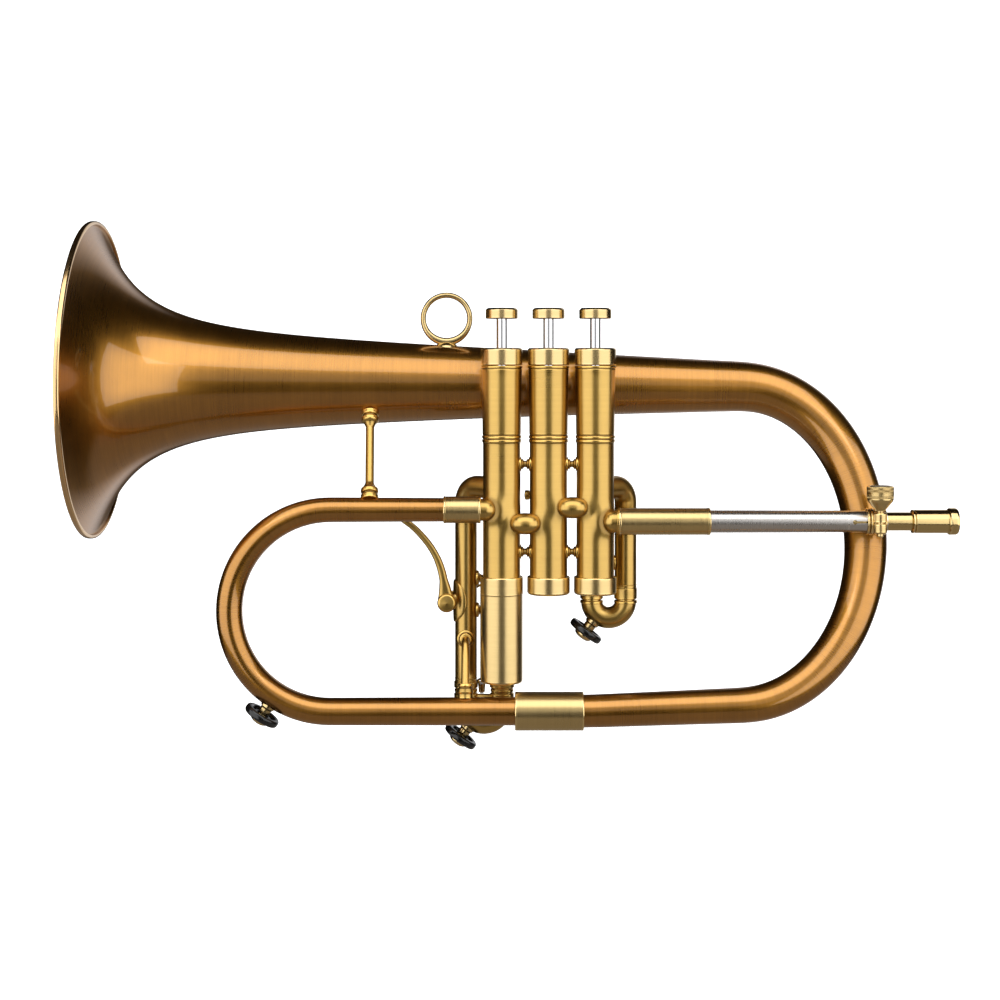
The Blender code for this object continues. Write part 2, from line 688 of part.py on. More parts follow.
def make_slides():
    make_slide_leg("first_slide_leg_near", 1, FIRST_LEGS_X[0], FIRST_LEG_BOTTOM_Z, LOW_PORT_Z, 6.8 * MM)
    make_slide_leg("first_slide_leg_far", 1, FIRST_LEGS_X[1], FIRST_LEG_BOTTOM_Z, HIGH_PORT_Z, 8 * MM)
    make_slide_leg("third_slide_leg_far", 3, THIRD_LEGS_X[0], THIRD_LEG_BOTTOM_Z, HIGH_PORT_Z, 8 * MM)
    make_slide_leg("third_slide_leg_near", 3, THIRD_LEGS_X[1], THIRD_LEG_BOTTOM_Z, LOW_PORT_Z, 6.8 * MM)
    down = Vector((0, 0, -1))
    ends = [Vector((x, SLIDE_Y, FIRST_LEG_BOTTOM_Z)) for x in FIRST_LEGS_X]
    finish(u_slide("first_slide_bow", *ends, down, 28 * MM, 1.0 * MM), ANTIQUE_BRASS)
    ends = [Vector((x, SLIDE_Y, THIRD_LEG_BOTTOM_Z)) for x in THIRD_LEGS_X]
    third = u_slide("third_slide_bow", *ends, down, 44 * MM, 9.0 * MM)
    bar_z = THIRD_LEG_BOTTOM_Z - 5 * MM
    inset = SLIDE_BOW_RADIUS - 0.3 * MM
    start = (THIRD_LEGS_X[0] + inset, SLIDE_Y, bar_z)
    end = (THIRD_LEGS_X[1] - inset, SLIDE_Y, bar_z)
    add(third, rod("third_slide_bar", start, end, 1.8 * MM, 8))
    finish(third, ANTIQUE_BRASS)
    ends = [SECOND_DIRECTION * SECOND_LEG_END + Vector((0, 0, height)) for height in SECOND_LEGS_Z]
    finish(u_slide("second_slide_bow", *ends, SECOND_DIRECTION, 19 * MM, 2 * MM), ANTIQUE_BRASS)


# Water keys


def make_water_key(place, foot, outward):
    """Push-ring water key: a nipple on the bow, a loose ring round its post, and a domed cap."""
    base = [
        (0, GAP),
        (3.4 * MM, GAP),
        (3.4 * MM, 1.8 * MM),
        (2.1 * MM, 2.2 * MM),
        (2.1 * MM, 6.5 * MM),
        (4.4 * MM, 6.7 * MM),
        (3.6 * MM, 8.4 * MM),
        (0, 9.2 * MM),
    ]
    finish(turned(f"water_key_body_{place}", base, foot, outward, 10), PALE_BRASS, 0.25)
    ring = [(2.6 * MM, 3.9 * MM), (8.6 * MM, 3.9 * MM), (8.6 * MM, 6.2 * MM), (2.6 * MM, 6.2 * MM)]
    ring_obj = turned(f"water_key_ring_{place}", ring, foot, outward, 16, ring=True)
    finish(ring_obj, BLACK_RUBBER, 0.4, 0.0)


def make_water_keys():
    outward = Vector((-0.545, 0, -0.838)).normalized()
    centre = Vector((FRONT_BOW_CENTRE_X, TUBE_PLANE_Y, FRONT_BOW_CENTRE_Z))
    foot = centre + outward * (FRONT_BOW_SIZE + FRONT_BOW_RADII[1] + 0.2 * MM)
    make_water_key("front", foot, outward)
    outward = Vector((-0.6, 0, -0.8))
    for place, legs, bottom, step in (
        ("first", FIRST_LEGS_X, FIRST_LEG_BOTTOM_Z, 1.0 * MM),
        ("third", THIRD_LEGS_X, THIRD_LEG_BOTTOM_Z, 9.0 * MM),
    ):
        centre = Vector((sum(legs) / 2, SLIDE_Y, bottom - step))
        make_water_key(place, centre + outward * ((legs[1] - legs[0]) / 2 + SLIDE_BOW_RADIUS), outward)


# Trigger


def make_trigger():
    """Lever on a saddle: its long arm is squeezed, its slotted short arm pushes the slide's link."""
    pivot = Vector((TRIGGER_X, 0, TRIGGER_Z))

    def across(y):
        return pivot + Vector((0, y, 0))

    saddle = sleeve("trigger_saddle", across(11 * MM), across(22.6 * MM), 4.0 * MM, 2.4 * MM, 12)
    low = (TRIGGER_X + 3.0 * MM, 13 * MM, TRIGGER_Z - 9 * MM)
    high = (TRIGGER_X + 5.2 * MM, 20.6 * MM, TRIGGER_Z + 9 * MM)
    add(saddle, block("trigger_saddle_plate", low, high))
    leg = (THIRD_LEGS_X[0], SLIDE_Y)
    cope(saddle, (*leg, TRIGGER_Z - 14 * MM), (*leg, TRIGGER_Z + 14 * MM), SLIDE_LEG_RADIUS)
    finish(saddle, ANTIQUE_BRASS)

    arm_y = 8.4 * MM
    arm_start, arm_end = Vector((-70.6 * MM, arm_y, -24.4 * MM)), across(arm_y)
    steps = 8
    arm = []
    for i in range(steps + 1):
        share = i / steps
        bow = 5.2 * MM * math.sin(math.pi * share)
        arm.append(arm_start.lerp(arm_end, share) + Vector((0.87, 0, 0.49)) * bow)
    radii = [1.7 * MM + 0.5 * MM * i / steps for i in range(steps + 1)]
    lever = bent_tube("trigger_lever", arm, radii, sides=8)
    add(lever, rod("trigger_head", across(6.6 * MM), across(10.5 * MM), 4.65 * MM))
    add(lever, rod("trigger_shaft", across(8 * MM), across(25 * MM), 2.0 * MM))
    pin = Vector((TRIGGER_PIN_X, 0, TRIGGER_PIN_Z))
    toward = (pin - pivot).normalized()
    reach = (pin - pivot).length
    turn = frame_along(across(24.8 * MM), (0, 1, 0)).to_3x3()
    low, high = (-3.0 * MM, -2.4 * MM, -1.2 * MM), (reach + 3.0 * MM, 2.4 * MM, 1.2 * MM)
    short_arm = block("trigger_short_arm", low, high)
    low, high = (reach - 4.0 * MM, -1.3 * MM, -3.0 * MM), (reach + 1.4 * MM, 1.3 * MM, 3.0 * MM)
    slot = block("trigger_slot", low, high)
    side = Vector((0, 1, 0)).cross(toward)
    basis = Matrix((toward, side, turn.col[2])).transposed().to_4x4()
    for piece in (short_arm, slot):
        piece.matrix_world = Matrix.Translation(across(24.8 * MM)) @ basis
    add(lever, short_arm)
    cut(lever, slot)
    finish(lever, ANTIQUE_BRASS)

    x = TRIGGER_PIN_X
    path = [
        Vector((x, SLIDE_Y, THIRD_LEG_BOTTOM_Z - 2.8 * MM)),
        Vector((x, SLIDE_Y + 1.6 * MM, THIRD_LEG_BOTTOM_Z + 1 * MM)),
        Vector((x, 20 * MM, THIRD_LEG_BOTTOM_Z + 4 * MM)),
        Vector((x, 20 * MM, TRIGGER_PIN_Z - 1.6 * MM)),
        Vector((x, 20.5 * MM, TRIGGER_PIN_Z - 0.5 * MM)),
        Vector((x, 21.6 * MM, TRIGGER_PIN_Z)),
        Vector((x, 27.2 * MM, TRIGGER_PIN_Z)),
    ]
    finish(bent_tube("trigger_link", path, [0.85 * MM] * len(path), sides=8), STEEL, 0.2)


def make_front_bow_brace():
    """Bent stay from the third slide's fixed leg forward and down onto the bottom run."""
    x = THIRD_LEGS_X[0]
    path = [
        Vector((x, 12.6 * MM, -83.4 * MM)),
        Vector((x, 8.8 * MM, -83.4 * MM)),
        Vector((x, 8.2 * MM, -83.4 * MM)),
        Vector((x, 5.0 * MM, -84.4 * MM)),
        Vector((x, 2.6 * MM, -87.6 * MM)),
        Vector((x, -4.6 * MM, -102.6 * MM)),
        Vector((x, -5.0 * MM, -104.0 * MM)),
        Vector((x, -7.0 * MM, -111.5 * MM)),
    ]
    radii = [4.3 * MM, 4.0 * MM, 2.1 * MM, 2.1 * MM, 2.1 * MM, 2.1 * MM, 4.0 * MM, 4.0 * MM]
    brace = bent_tube("front_bow_brace", path, radii, sides=10)
    cope(brace, (x, SLIDE_Y, -95 * MM), (x, SLIDE_Y, -70 * MM), SLIDE_LEG_RADIUS)
    run = (TUBE_PLANE_Y, BOTTOM_RUN_Z)
    cope(brace, (x - 12 * MM, *run), (x + 12 * MM, *run), FRONT_BOW_RADII[2] + 0.2 * MM)
    finish(brace, ANTIQUE_BRASS)


# Mouthpipe


def make_mouthpipe():
    """Sleeve, tapering slit tube, clamp with its thumbscrew, and the sliding receiver."""
    line = (TUBE_PLANE_Y, INLET_Z)

    def at(x):
        return Vector((x, *line))

    socket = sleeve("mouthpipe_sleeve", at(SLEEVE_START_X), at(SLEEVE_END_X), 6.55 * MM, 5.85 * MM)
    finish(socket, ANTIQUE_BRASS)
    length = MOUTHPIPE_END_X - MOUTHPIPE_START_X
    profile = [
        (5.5 * MM, 0),
        (5.45 * MM, 0.4 * length),
        (5.3 * MM, length),
        (4.85 * MM, length),
        (4.85 * MM, 0),
    ]
    pipe = turned("mouthpipe", profile, at(MOUTHPIPE_START_X), (1, 0, 0), 16, ring=True)
    half = 0.45 * MM
    low = (148 * MM, TUBE_PLANE_Y - 9 * MM, INLET_Z - half)
    high = (MOUTHPIPE_END_X + MM, TUBE_PLANE_Y, INLET_Z + half)
    cut(pipe, block("mouthpipe_slit", low, high))
    finish(pipe, NICKEL_SILVER, 0.3)

    clamp = sleeve("clamp_collar", at(CLAMP_X[0]), at(CLAMP_X[1]), 6.6 * MM, 5.75 * MM)
    low = (SCREW_X - 2.8 * MM, SCREW_Y - 2.8 * MM, INLET_Z - 5.6 * MM)
    high = (SCREW_X + 2.8 * MM, TUBE_PLANE_Y - 6.0 * MM, INLET_Z + 5.4 * MM)
    add(clamp, block("clamp_ears", low, high))
    low = (CLAMP_X[0] - MM, SCREW_Y - 4 * MM, INLET_Z - 0.7 * MM)
    high = (CLAMP_X[1] + MM, TUBE_PLANE_Y, INLET_Z + 0.7 * MM)
    cut(clamp, block("clamp_slit", low, high))
    screw_at = Vector((SCREW_X, SCREW_Y, 0))
    low, high = screw_at + Vector((0, 0, -32 * MM)), screw_at + Vector((0, 0, -12 * MM))
    cut(clamp, rod("clamp_hole", low, high, 1.95 * MM))
    finish(clamp, ANTIQUE_BRASS)

    screw = [
        (0, -30.2 * MM),
        (1.5 * MM, -30.2 * MM),
        (1.5 * MM, -17.7 * MM),
        (2.6 * MM, -17.7 * MM),
        (6.4 * MM, -13.4 * MM),
        (6.4 * MM, -6.4 * MM),
        (5.6 * MM, -5.6 * MM),
        (0, -5.6 * MM),
    ]
    finish(turned("clamp_thumbscrew", screw, screw_at, sides=12), PALE_BRASS, 0.25)

    step = RECEIVER_STEP_X - RECEIVER_INNER_X
    ring = RECEIVER_RING_X - RECEIVER_INNER_X
    end = RECEIVER_END_X - RECEIVER_INNER_X
    receiver = [
        (4.5 * MM, 0),
        (4.5 * MM, step),
        (5.8 * MM, step),
        (5.8 * MM, ring),
        (6.55 * MM, ring + 0.5 * MM),
        (6.55 * MM, end),
        (4.95 * MM, end),
        (4.45 * MM, step + 1.5 * MM),
        (3.95 * MM, step + 1.5 * MM),
        (3.95 * MM, 0),
    ]
    obj = turned("tuning_receiver", receiver, at(RECEIVER_INNER_X), (1, 0, 0), 16, ring=True)
    finish(obj, PALE_BRASS, 0.15)


def main():
    clear_scene()
    make_bell()
    make_bell_bow()
    make_front_bow()
    make_ferrules()
    make_finger_ring()
    make_bell_brace()
    make_valve_bell_brace()
    make_valve_block()
    make_slides()
    make_water_keys()
    make_trigger()
    make_front_bow_brace()
    make_mouthpipe()


main()
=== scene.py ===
"""Finished surfaces, metal finishes and studio for the flugelhorn.

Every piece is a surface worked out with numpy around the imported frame: a turned profile, a tube along
a path, or a section carried along a path. Lengths are in metres; profiles are written in millimetres.
"""

import json
import math

import bmesh
import bpy
import numpy as np
from bpy.props import FloatProperty, FloatVectorProperty, PointerProperty
from bpy.types import Operator, Panel, PropertyGroup
from mathutils import Matrix, Vector


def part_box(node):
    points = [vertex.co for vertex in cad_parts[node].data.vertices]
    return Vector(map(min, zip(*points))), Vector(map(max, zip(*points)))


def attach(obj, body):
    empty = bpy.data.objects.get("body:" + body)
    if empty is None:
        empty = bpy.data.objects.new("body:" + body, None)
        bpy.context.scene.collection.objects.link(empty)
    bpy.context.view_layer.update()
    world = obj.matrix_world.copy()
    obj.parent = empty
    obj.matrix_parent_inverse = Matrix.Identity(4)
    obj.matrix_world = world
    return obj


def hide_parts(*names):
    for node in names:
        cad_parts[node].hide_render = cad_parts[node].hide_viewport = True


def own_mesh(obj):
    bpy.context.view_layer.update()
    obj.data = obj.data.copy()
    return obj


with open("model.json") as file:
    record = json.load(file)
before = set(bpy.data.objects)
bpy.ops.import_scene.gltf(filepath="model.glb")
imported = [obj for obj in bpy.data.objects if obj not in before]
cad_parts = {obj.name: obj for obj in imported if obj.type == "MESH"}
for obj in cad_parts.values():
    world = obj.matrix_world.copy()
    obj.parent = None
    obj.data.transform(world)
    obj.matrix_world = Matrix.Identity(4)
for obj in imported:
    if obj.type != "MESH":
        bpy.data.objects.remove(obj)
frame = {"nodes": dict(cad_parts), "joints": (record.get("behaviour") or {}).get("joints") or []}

bl_info = {
    "name": "Flugelhorn Finisher",
    "version": (1, 0, 0),
    "blender": (4, 5, 0),
    "location": "3D View > Sidebar > Flugelhorn",
    "description": "Builds the finished pieces of a flugelhorn around its packed frame",
    "category": "Object",
}

MM = 0.001
ALONG_X, ALONG_Y, ALONG_Z = np.eye(3)
TURNED_SIDES = 96
TUBE_SIDES = 72
COAT_IOR = 1.6
VALVE_NUMBERS = (1, 2, 3)


# Places read from the frame


def low(node):
    return np.array(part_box(node)[0])


def high(node):
    return np.array(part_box(node)[1])


def middle(node):
    return (low(node) + high(node)) / 2


def joint_named(name):
    return next(joint for joint in frame["joints"] if joint["name"] == name)


VALVE_X = {number: middle(f"piston_{number}")[0] for number in VALVE_NUMBERS}
TUBE_PLANE_Y = middle("bow_ferrule")[1]
BOTTOM_RUN_Z = middle("bow_ferrule")[2]
OUTLET_Z = middle("front_ferrule")[2]
MOUTHPIPE_Z = middle("mouthpipe_sleeve")[2]
SLIDE_Y = middle("first_slide_bow")[1]
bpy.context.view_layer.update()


# Places and sizes that several pieces share

KNUCKLE_Y = -7.2 * MM
LINK_Y = -8.5 * MM
OUTLET_END_X = -33.4 * MM
LEG_RADIUS = 5.45 * MM
FIRST_LEGS_X = (22.0 * MM, 39.0 * MM)
FIRST_LEGS_Z = -64.0 * MM
THIRD_LEGS_X = (-40.8 * MM, -22.8 * MM)
THIRD_LEGS_Z = -108.3 * MM
LEVER_Y = 8.4 * MM
ARM_Y = 24.8 * MM
LINK_PIN_Z = -55.8 * MM
SHARP_EDGE = math.radians(38)


# Sizes and colours that a user would change


class BellShape(PropertyGroup):
    """The flare: radius = base - taper * u + flare * (1 + u / length) ** power, with u from the rim."""

    base_radius: FloatProperty(
        name="Base Radius", description="Radius that the taper starts from", default=0.0259, unit="LENGTH"
    )
    taper: FloatProperty(name="Taper", description="Radius lost for each unit of length", default=0.042)
    flare: FloatProperty(
        name="Flare", description="Radius that the flare adds at the rim", default=0.054, unit="LENGTH"
    )
    flare_length: FloatProperty(
        name="Flare Length",
        description="Length over which the flare dies away",
        default=0.0872,
        unit="LENGTH",
    )
    power: FloatProperty(name="Flare Power", description="How fast the flare dies away", default=-4.25)
    axis_fall: FloatProperty(
        name="Axis Fall", description="Drop of the bell's axis for each unit of length", default=0.0084
    )
    wall: FloatProperty(name="Wall", description="Thickness of the sheet", default=0.0006, unit="LENGTH")


class BowShape(PropertyGroup):
    """The two long bows and the radii of their tapered tubes."""

    top_x: FloatProperty(
        name="Top Run End", description="Where the top run starts to bend", default=0.098, unit="LENGTH"
    )
    bottom_x: FloatProperty(
        name="Bottom Run End", description="Where the bottom run starts to bend", default=0.093, unit="LENGTH"
    )
    reach_x: FloatProperty(
        name="Reach", description="Furthest point of the big bow's middle line", default=0.1579, unit="LENGTH"
    )
    top_z: FloatProperty(
        name="Top Height", description="Height of the top run's end", default=0.042, unit="LENGTH"
    )
    bottom_z: FloatProperty(
        name="Bottom Height", description="Height of the bottom run's end", default=-0.1129, unit="LENGTH"
    )
    front_x: FloatProperty(
        name="Front Centre",
        description="Centre of the front bow's half circle",
        default=-0.1065,
        unit="LENGTH",
    )
    front_z: FloatProperty(
        name="Front Centre Height", description="Height of that centre", default=-0.0668, unit="LENGTH"
    )
    front_size: FloatProperty(
        name="Front Radius",
        description="Radius of the front bow's middle line",
        default=0.0491,
        unit="LENGTH",
    )


class MetalColours(PropertyGroup):
    """Colours of the bright metal and of the patina that darkens it."""

    rose: FloatVectorProperty(
        name="Rose Brass", description="Bell and bows", subtype="COLOR", default=(0.62, 0.285, 0.045)
    )
    rose_patina: FloatVectorProperty(
        name="Rose Patina", description="Aged rose brass", subtype="COLOR", default=(0.14, 0.060, 0.010)
    )
    antique: FloatVectorProperty(
        name="Antique Brass", description="Valves and slides", subtype="COLOR", default=(0.72, 0.465, 0.120)
    )
    antique_patina: FloatVectorProperty(
        name="Antique Patina", description="Aged yellow brass", subtype="COLOR", default=(0.20, 0.110, 0.022)
    )
    pale: FloatVectorProperty(
        name="Polished Brass",
        description="Caps, buttons and receiver",
        subtype="COLOR",
        default=(0.80, 0.61, 0.30),
    )
    satin: FloatVectorProperty(
        name="Satin Brass", description="Long cap and ferrule", subtype="COLOR", default=(0.92, 0.69, 0.31)
    )
    rim: FloatVectorProperty(
        name="Rim Wire", description="Rolled edge of the bell", subtype="COLOR", default=(0.86, 0.56, 0.26)
    )
    nickel: FloatVectorProperty(
        name="Nickel Silver", description="Mouthpipe", subtype="COLOR", default=(0.72, 0.685, 0.65)
    )
    steel: FloatVectorProperty(
        name="Steel", description="Stems and springs", subtype="COLOR", default=(0.80, 0.80, 0.82)
    )
    black: FloatVectorProperty(
        name="Black", description="Water key rings", subtype="COLOR", default=(0.004, 0.004, 0.004)
    )


# Curves and profiles


def unit(vectors):
    vectors = np.asarray(vectors, float)
    return vectors / np.linalg.norm(vectors, axis=-1, keepdims=True)


def running_length(points):
    """Distance travelled along a line of points, from its first point."""
    steps = np.linalg.norm(np.diff(points, axis=0), axis=1)
    return np.concatenate([[0.0], np.cumsum(steps)])


def distinct(points):
    """The points without those that repeat the one before."""
    keep = np.concatenate([[True], np.linalg.norm(np.diff(points, axis=0), axis=1) > 1e-8])
    return points[keep]


def spaced(points, step, crowded=False):
    """The same line with more points: each stretch is cut into even parts about one step long.

    When crowded, the cuts gather towards the ends of the stretch along half a cosine wave, which
    keeps the wear of an edge from spreading over the flat beside it.
    """
    length = running_length(points)
    stations = [length[:1]]
    for start, end in zip(length[:-1], length[1:]):
        share = np.linspace(0.0, 1.0, max(math.ceil((end - start) / step), 1) + 1)[1:]
        if crowded:
            share = (1 - np.cos(math.pi * share)) / 2
        stations.append(start + (end - start) * share)
    stations = np.concatenate(stations)
    return np.stack([np.interp(stations, length, values) for values in points.T], axis=1)


def eased(points, window):
    """The line resampled evenly and averaged over a window of that length, which rounds its corners.

    Each end is carried on by its mirror image through the end point, so the ends stay where they are.
    """
    length = running_length(points)
    count = max(int(length[-1] / MM), 24)
    stations = np.linspace(0.0, length[-1], count)
    even = np.stack([np.interp(stations, length, values) for values in points.T], axis=1)
    half = max(int(window / 2 / (stations[1] - stations[0])), 1)
    before = 2 * even[0] - even[half:0:-1]
    after = 2 * even[-1] - even[-2 : -half - 2 : -1]
    longer = np.concatenate([before, even, after])
    kernel = np.ones(2 * half + 1) / (2 * half + 1)
    return np.stack([np.convolve(values, kernel, "valid") for values in longer.T], axis=1)


def arc(centre, first, second, start, end, count=24):
    """centre + first * cos(angle) + second * sin(angle) for even angles from start to end."""
    angle = np.linspace(start, end, count)[:, None]
    return np.asarray(centre) + np.asarray(first) * np.cos(angle) + np.asarray(second) * np.sin(angle)


def outline(*corners, closed=False, steps=6):
    """Turned profile from (radius, height, rounding) corners in millimetres, as metres.

    A rounding starts that far from its corner on both edges and follows the parabola that touches
    both edges there.
    """
    table = np.array([(*corner, 0.0)[:3] for corner in corners]) * MM
    points, reach = table[:, :2], table[:, 2:]
    before, after = np.roll(points, 1, axis=0), np.roll(points, -1, axis=0)
    room = np.minimum(
        np.linalg.norm(before - points, axis=1), np.linalg.norm(after - points, axis=1)
    )
    reach = np.minimum(reach, 0.49 * room[:, None])
    start = points + unit(before - points) * reach
    end = points + unit(after - points) * reach
    share = np.linspace(0.0, 1.0, steps)[:, None, None]
    curved = (1 - share) ** 2 * start + 2 * share * (1 - share) * points + share**2 * end
    line = distinct(curved.transpose(1, 0, 2).reshape(-1, 2))
    if closed:
        line = np.concatenate([line, line[:1]])
    return line


def edge_wear(profile, spread=0.35 * MM):
    """How proud each point of a profile stands, from -1 in a groove to 1 on an edge.

    It is the outline's turn at each point, counted positive where the outline is convex, and spread
    along the outline by a bell curve.
    """
    ahead = np.diff(profile, axis=0)
    first, second = ahead[:-1], ahead[1:]
    cross = first[:, 0] * second[:, 1] - first[:, 1] * second[:, 0]
    turn = np.arctan2(cross, (first * second).sum(axis=1))
    turn = np.concatenate([[0.0], turn, [0.0]])
    radius, height = profile.T
    area = (radius * np.roll(height, -1) - np.roll(radius, -1) * height).sum()
    length = running_length(profile)
    near = np.exp(-(((length[:, None] - length[None, :]) / spread) ** 2))
    return np.clip(near @ turn * np.sign(area), -1.0, 1.0)


def across(direction):
    """Two directions square to a direction and to each other."""
    helper = ALONG_X if abs(direction[2]) > 0.9 else ALONG_Z
    first = unit(np.cross(helper, direction))
    return first, np.cross(direction, first)


# Surfaces


def surface(grid, lay, wear, ring=False):
    """A grid of points whose columns meet round the back; its rows meet too when ring is set.

    lay says how the brush marks lie at each point: distance along the piece, then the place round it.
    """
    rows, columns = grid.shape[:2]
    index = np.arange(rows * columns).reshape(rows, columns)
    below = index if ring else index[:-1]
    above = np.roll(index, -1, axis=0) if ring else index[1:]
    faces = np.stack([below, np.roll(below, -1, axis=1), np.roll(above, -1, axis=1), above], axis=-1)
    return {
        "points": grid.reshape(-1, 3),
        "faces": faces.reshape(-1, 4),
        "lay": lay.reshape(-1, 3),
        "wear": np.broadcast_to(wear, (rows, columns)).reshape(-1),
    }


def turned(profile, place, direction=ALONG_Z, sides=TURNED_SIDES, step=0.9 * MM, relief=None):
    """Surface of revolution: each (radius, height) of the profile, carried round the axis.

    relief(angle, height) is added to the radius, as for a knurl.
    """
    profile = spaced(np.asarray(profile, float), step, crowded=True)
    direction = unit(direction)
    first, second = across(direction)
    angle = np.linspace(0.0, math.tau, sides, endpoint=False)
    radius, height = profile[:, :1], profile[:, 1:]
    around = np.broadcast_to(radius, (len(profile), sides))
    wear = edge_wear(profile)[:, None]
    if relief is not None:
        raised = relief(angle[None, :], height)
        around = around + raised * (around > 1e-6)
        wear = wear + raised / (0.08 * MM)
    spoke = np.cos(angle)[:, None] * first + np.sin(angle)[:, None] * second
    grid = np.asarray(place) + around[..., None] * spoke + height[..., None] * direction
    lay = np.stack(
        [
            np.broadcast_to(running_length(profile)[:, None], around.shape),
            around * np.cos(angle),
            around * np.sin(angle),
        ],
        axis=-1,
    )
    return surface(grid, lay, wear)


def section_sweep(path, level, width, depth, power=2.0, sides=TUBE_SIDES, shift=0.0):
    """A closed section carried along a path, square to it, with its ends closed.

    The section is |x / width| ** power + |y / depth| ** power = 1, a circle or an ellipse when power
    is 2. Its depth lies along level, a direction that the path never points along.
    """
    path = np.asarray(path, float)
    level = np.asarray(level, float)
    tangent = unit(np.gradient(path, axis=0))
    side = unit(np.cross(level, tangent))
    upward = np.cross(tangent, side)
    angle = np.linspace(0.0, math.tau, sides, endpoint=False)
    cosine, sine = np.cos(angle), np.sin(angle)
    x = np.sign(cosine) * np.abs(cosine) ** (2 / power)
    y = np.sign(sine) * np.abs(sine) ** (2 / power)
    rows = len(path)
    width = np.broadcast_to(width, rows)[:, None]
    depth = np.broadcast_to(depth, rows)[:, None]
    shift = np.broadcast_to(shift, rows)[:, None]
    grid = path[:, None] + (x * width + shift)[..., None] * side[:, None]
    grid = grid + (y * depth)[..., None] * upward[:, None]
    size = (width + depth).mean() / 2
    lay = np.stack(
        [
            np.broadcast_to(running_length(path)[:, None], (rows, sides)),
            np.broadcast_to(cosine * size, (rows, sides)),
            np.broadcast_to(sine * size, (rows, sides)),
        ],
        axis=-1,
    )
    centres = grid.mean(axis=1, keepdims=True)
    ends = [np.broadcast_to(centres[i], (1, sides, 3)) for i in (0, -1)]
    grid = np.concatenate([ends[0], grid, ends[1]])
    lay = np.concatenate([lay[:1], lay, lay[-1:]])
    return surface(grid, lay, 0.0)


def tube(path, radii, level=ALONG_Y, sides=TUBE_SIDES):
    """A round tube along a path."""
    return section_sweep(path, level, radii, radii, sides=sides)


def ring_band(centre, direction, major, radial, axial, power=2.0, sides=96, grow=None):
    """A ring: a closed section carried round a circle about direction.

    grow(angle) multiplies the section's radial size round the circle.
    """
    direction = unit(direction)
    first, second = across(direction)
    angle = np.linspace(0.0, math.tau, sides, endpoint=False)
    spoke = np.cos(angle)[:, None] * first + np.sin(angle)[:, None] * second
    turn = np.linspace(0.0, math.tau, 28, endpoint=False)
    x = np.sign(np.cos(turn)) * np.abs(np.cos(turn)) ** (2 / power) * radial
    y = np.sign(np.sin(turn)) * np.abs(np.sin(turn)) ** (2 / power) * axial
    scale = np.ones(sides) if grow is None else grow(angle)
    reach = major + x[None, :] * scale[:, None]
    grid = np.asarray(centre) + reach[..., None] * spoke[:, None]
    grid = grid + (y * np.ones((sides, 1)))[..., None] * direction
    round_section = np.broadcast_to(turn * radial, reach.shape)
    lay = np.stack([round_section, *(reach[None] * spoke.T[:2, :, None])], axis=-1)
    return surface(grid, lay, 0.0, ring=True)


# Shader nodes


class Signal:
    """A number in a node tree. Arithmetic on it adds Math nodes."""

    def __init__(self, tree, socket):
        self.tree = tree
        self.socket = socket

    def math(self, operation, *others, clamp=False):
        settings = {"operation": operation, "use_clamp": clamp}
        return self.tree.node("ShaderNodeMath", settings, dict(enumerate((self, *others))))[0]

    def __add__(self, other):
        return self.math("ADD", other)

    def __radd__(self, other):
        return self.math("ADD", other)

    def __sub__(self, other):
        return self.math("SUBTRACT", other)

    def __rsub__(self, other):
        return self.tree.number(other).math("SUBTRACT", self)

    def __mul__(self, other):
        return self.math("MULTIPLY", other)

    def __rmul__(self, other):
        return self.math("MULTIPLY", other)

    def clamped(self):
        return self.math("ADD", 0.0, clamp=True)


class Shading:
    """A node tree: node() adds any node, and the other methods are the patterns that finishes share."""

    def __init__(self, owner):
        owner.use_nodes = True
        self.nodes = owner.node_tree.nodes
        self.links = owner.node_tree.links

    def put(self, socket, value):
        if isinstance(value, Signal):
            self.links.new(value.socket, socket)
        elif hasattr(socket.default_value, "__len__") and len(socket.default_value) == 4:
            socket.default_value = (*value, 1.0)
        else:
            socket.default_value = value

    def node(self, kind, settings, inputs):
        """Adds a node, makes its settings, then fills or links its sockets; gives its outputs."""
        made = self.nodes.new(kind)
        for key, value in settings.items():
            setattr(made, key, value)
        for key, value in inputs.items():
            self.put(made.inputs[key], value)
        return [Signal(self, output) for output in made.outputs]

    def number(self, value):
        return self.node("ShaderNodeMath", {"operation": "ADD"}, {0: value, 1: 0.0})[0]

    def lay(self):
        return self.node("ShaderNodeAttribute", {"attribute_name": "lay"}, {})[1]

    def wear(self):
        return self.node("ShaderNodeAttribute", {"attribute_name": "wear"}, {})[2]

    def place(self):
        return self.node("ShaderNodeTexCoord", {}, {})[3]

    def stretched(self, vector, scale):
        return self.node("ShaderNodeVectorMath", {"operation": "MULTIPLY"}, {0: vector, 1: scale})[0]

    def noise(self, vector, scale, detail=2.0, rough=0.5):
        """Noise from 0 to 1 over a vector stretched by scale."""
        inputs = {"Vector": self.stretched(vector, scale), "Scale": 1.0, "Detail": detail, "Roughness": rough}
        return self.node("ShaderNodeTexNoise", {"noise_dimensions": "3D"}, inputs)[0]

    def blend(self, share, first, second):
        """Colour from first at 0 to second at 1."""
        inputs = {0: share, 6: first, 7: second}
        return self.node("ShaderNodeMix", {"data_type": "RGBA", "clamp_factor": True}, inputs)[2]

    def bump(self, height, distance, strength=1.0):
        inputs = {"Height": height, "Distance": distance, "Strength": strength}
        return self.node("ShaderNodeBump", {}, inputs)[0]


class Metal(Shading):
    """A material and its node tree."""

    def __init__(self, name):
        self.material = bpy.data.materials.new(name)
        super().__init__(self.material)
        self.shader = self.nodes["Principled BSDF"]

    def finish(self, **inputs):
        for name, value in inputs.items():
            self.put(self.shader.inputs[name.replace("_", " ")], value)
        return self.material


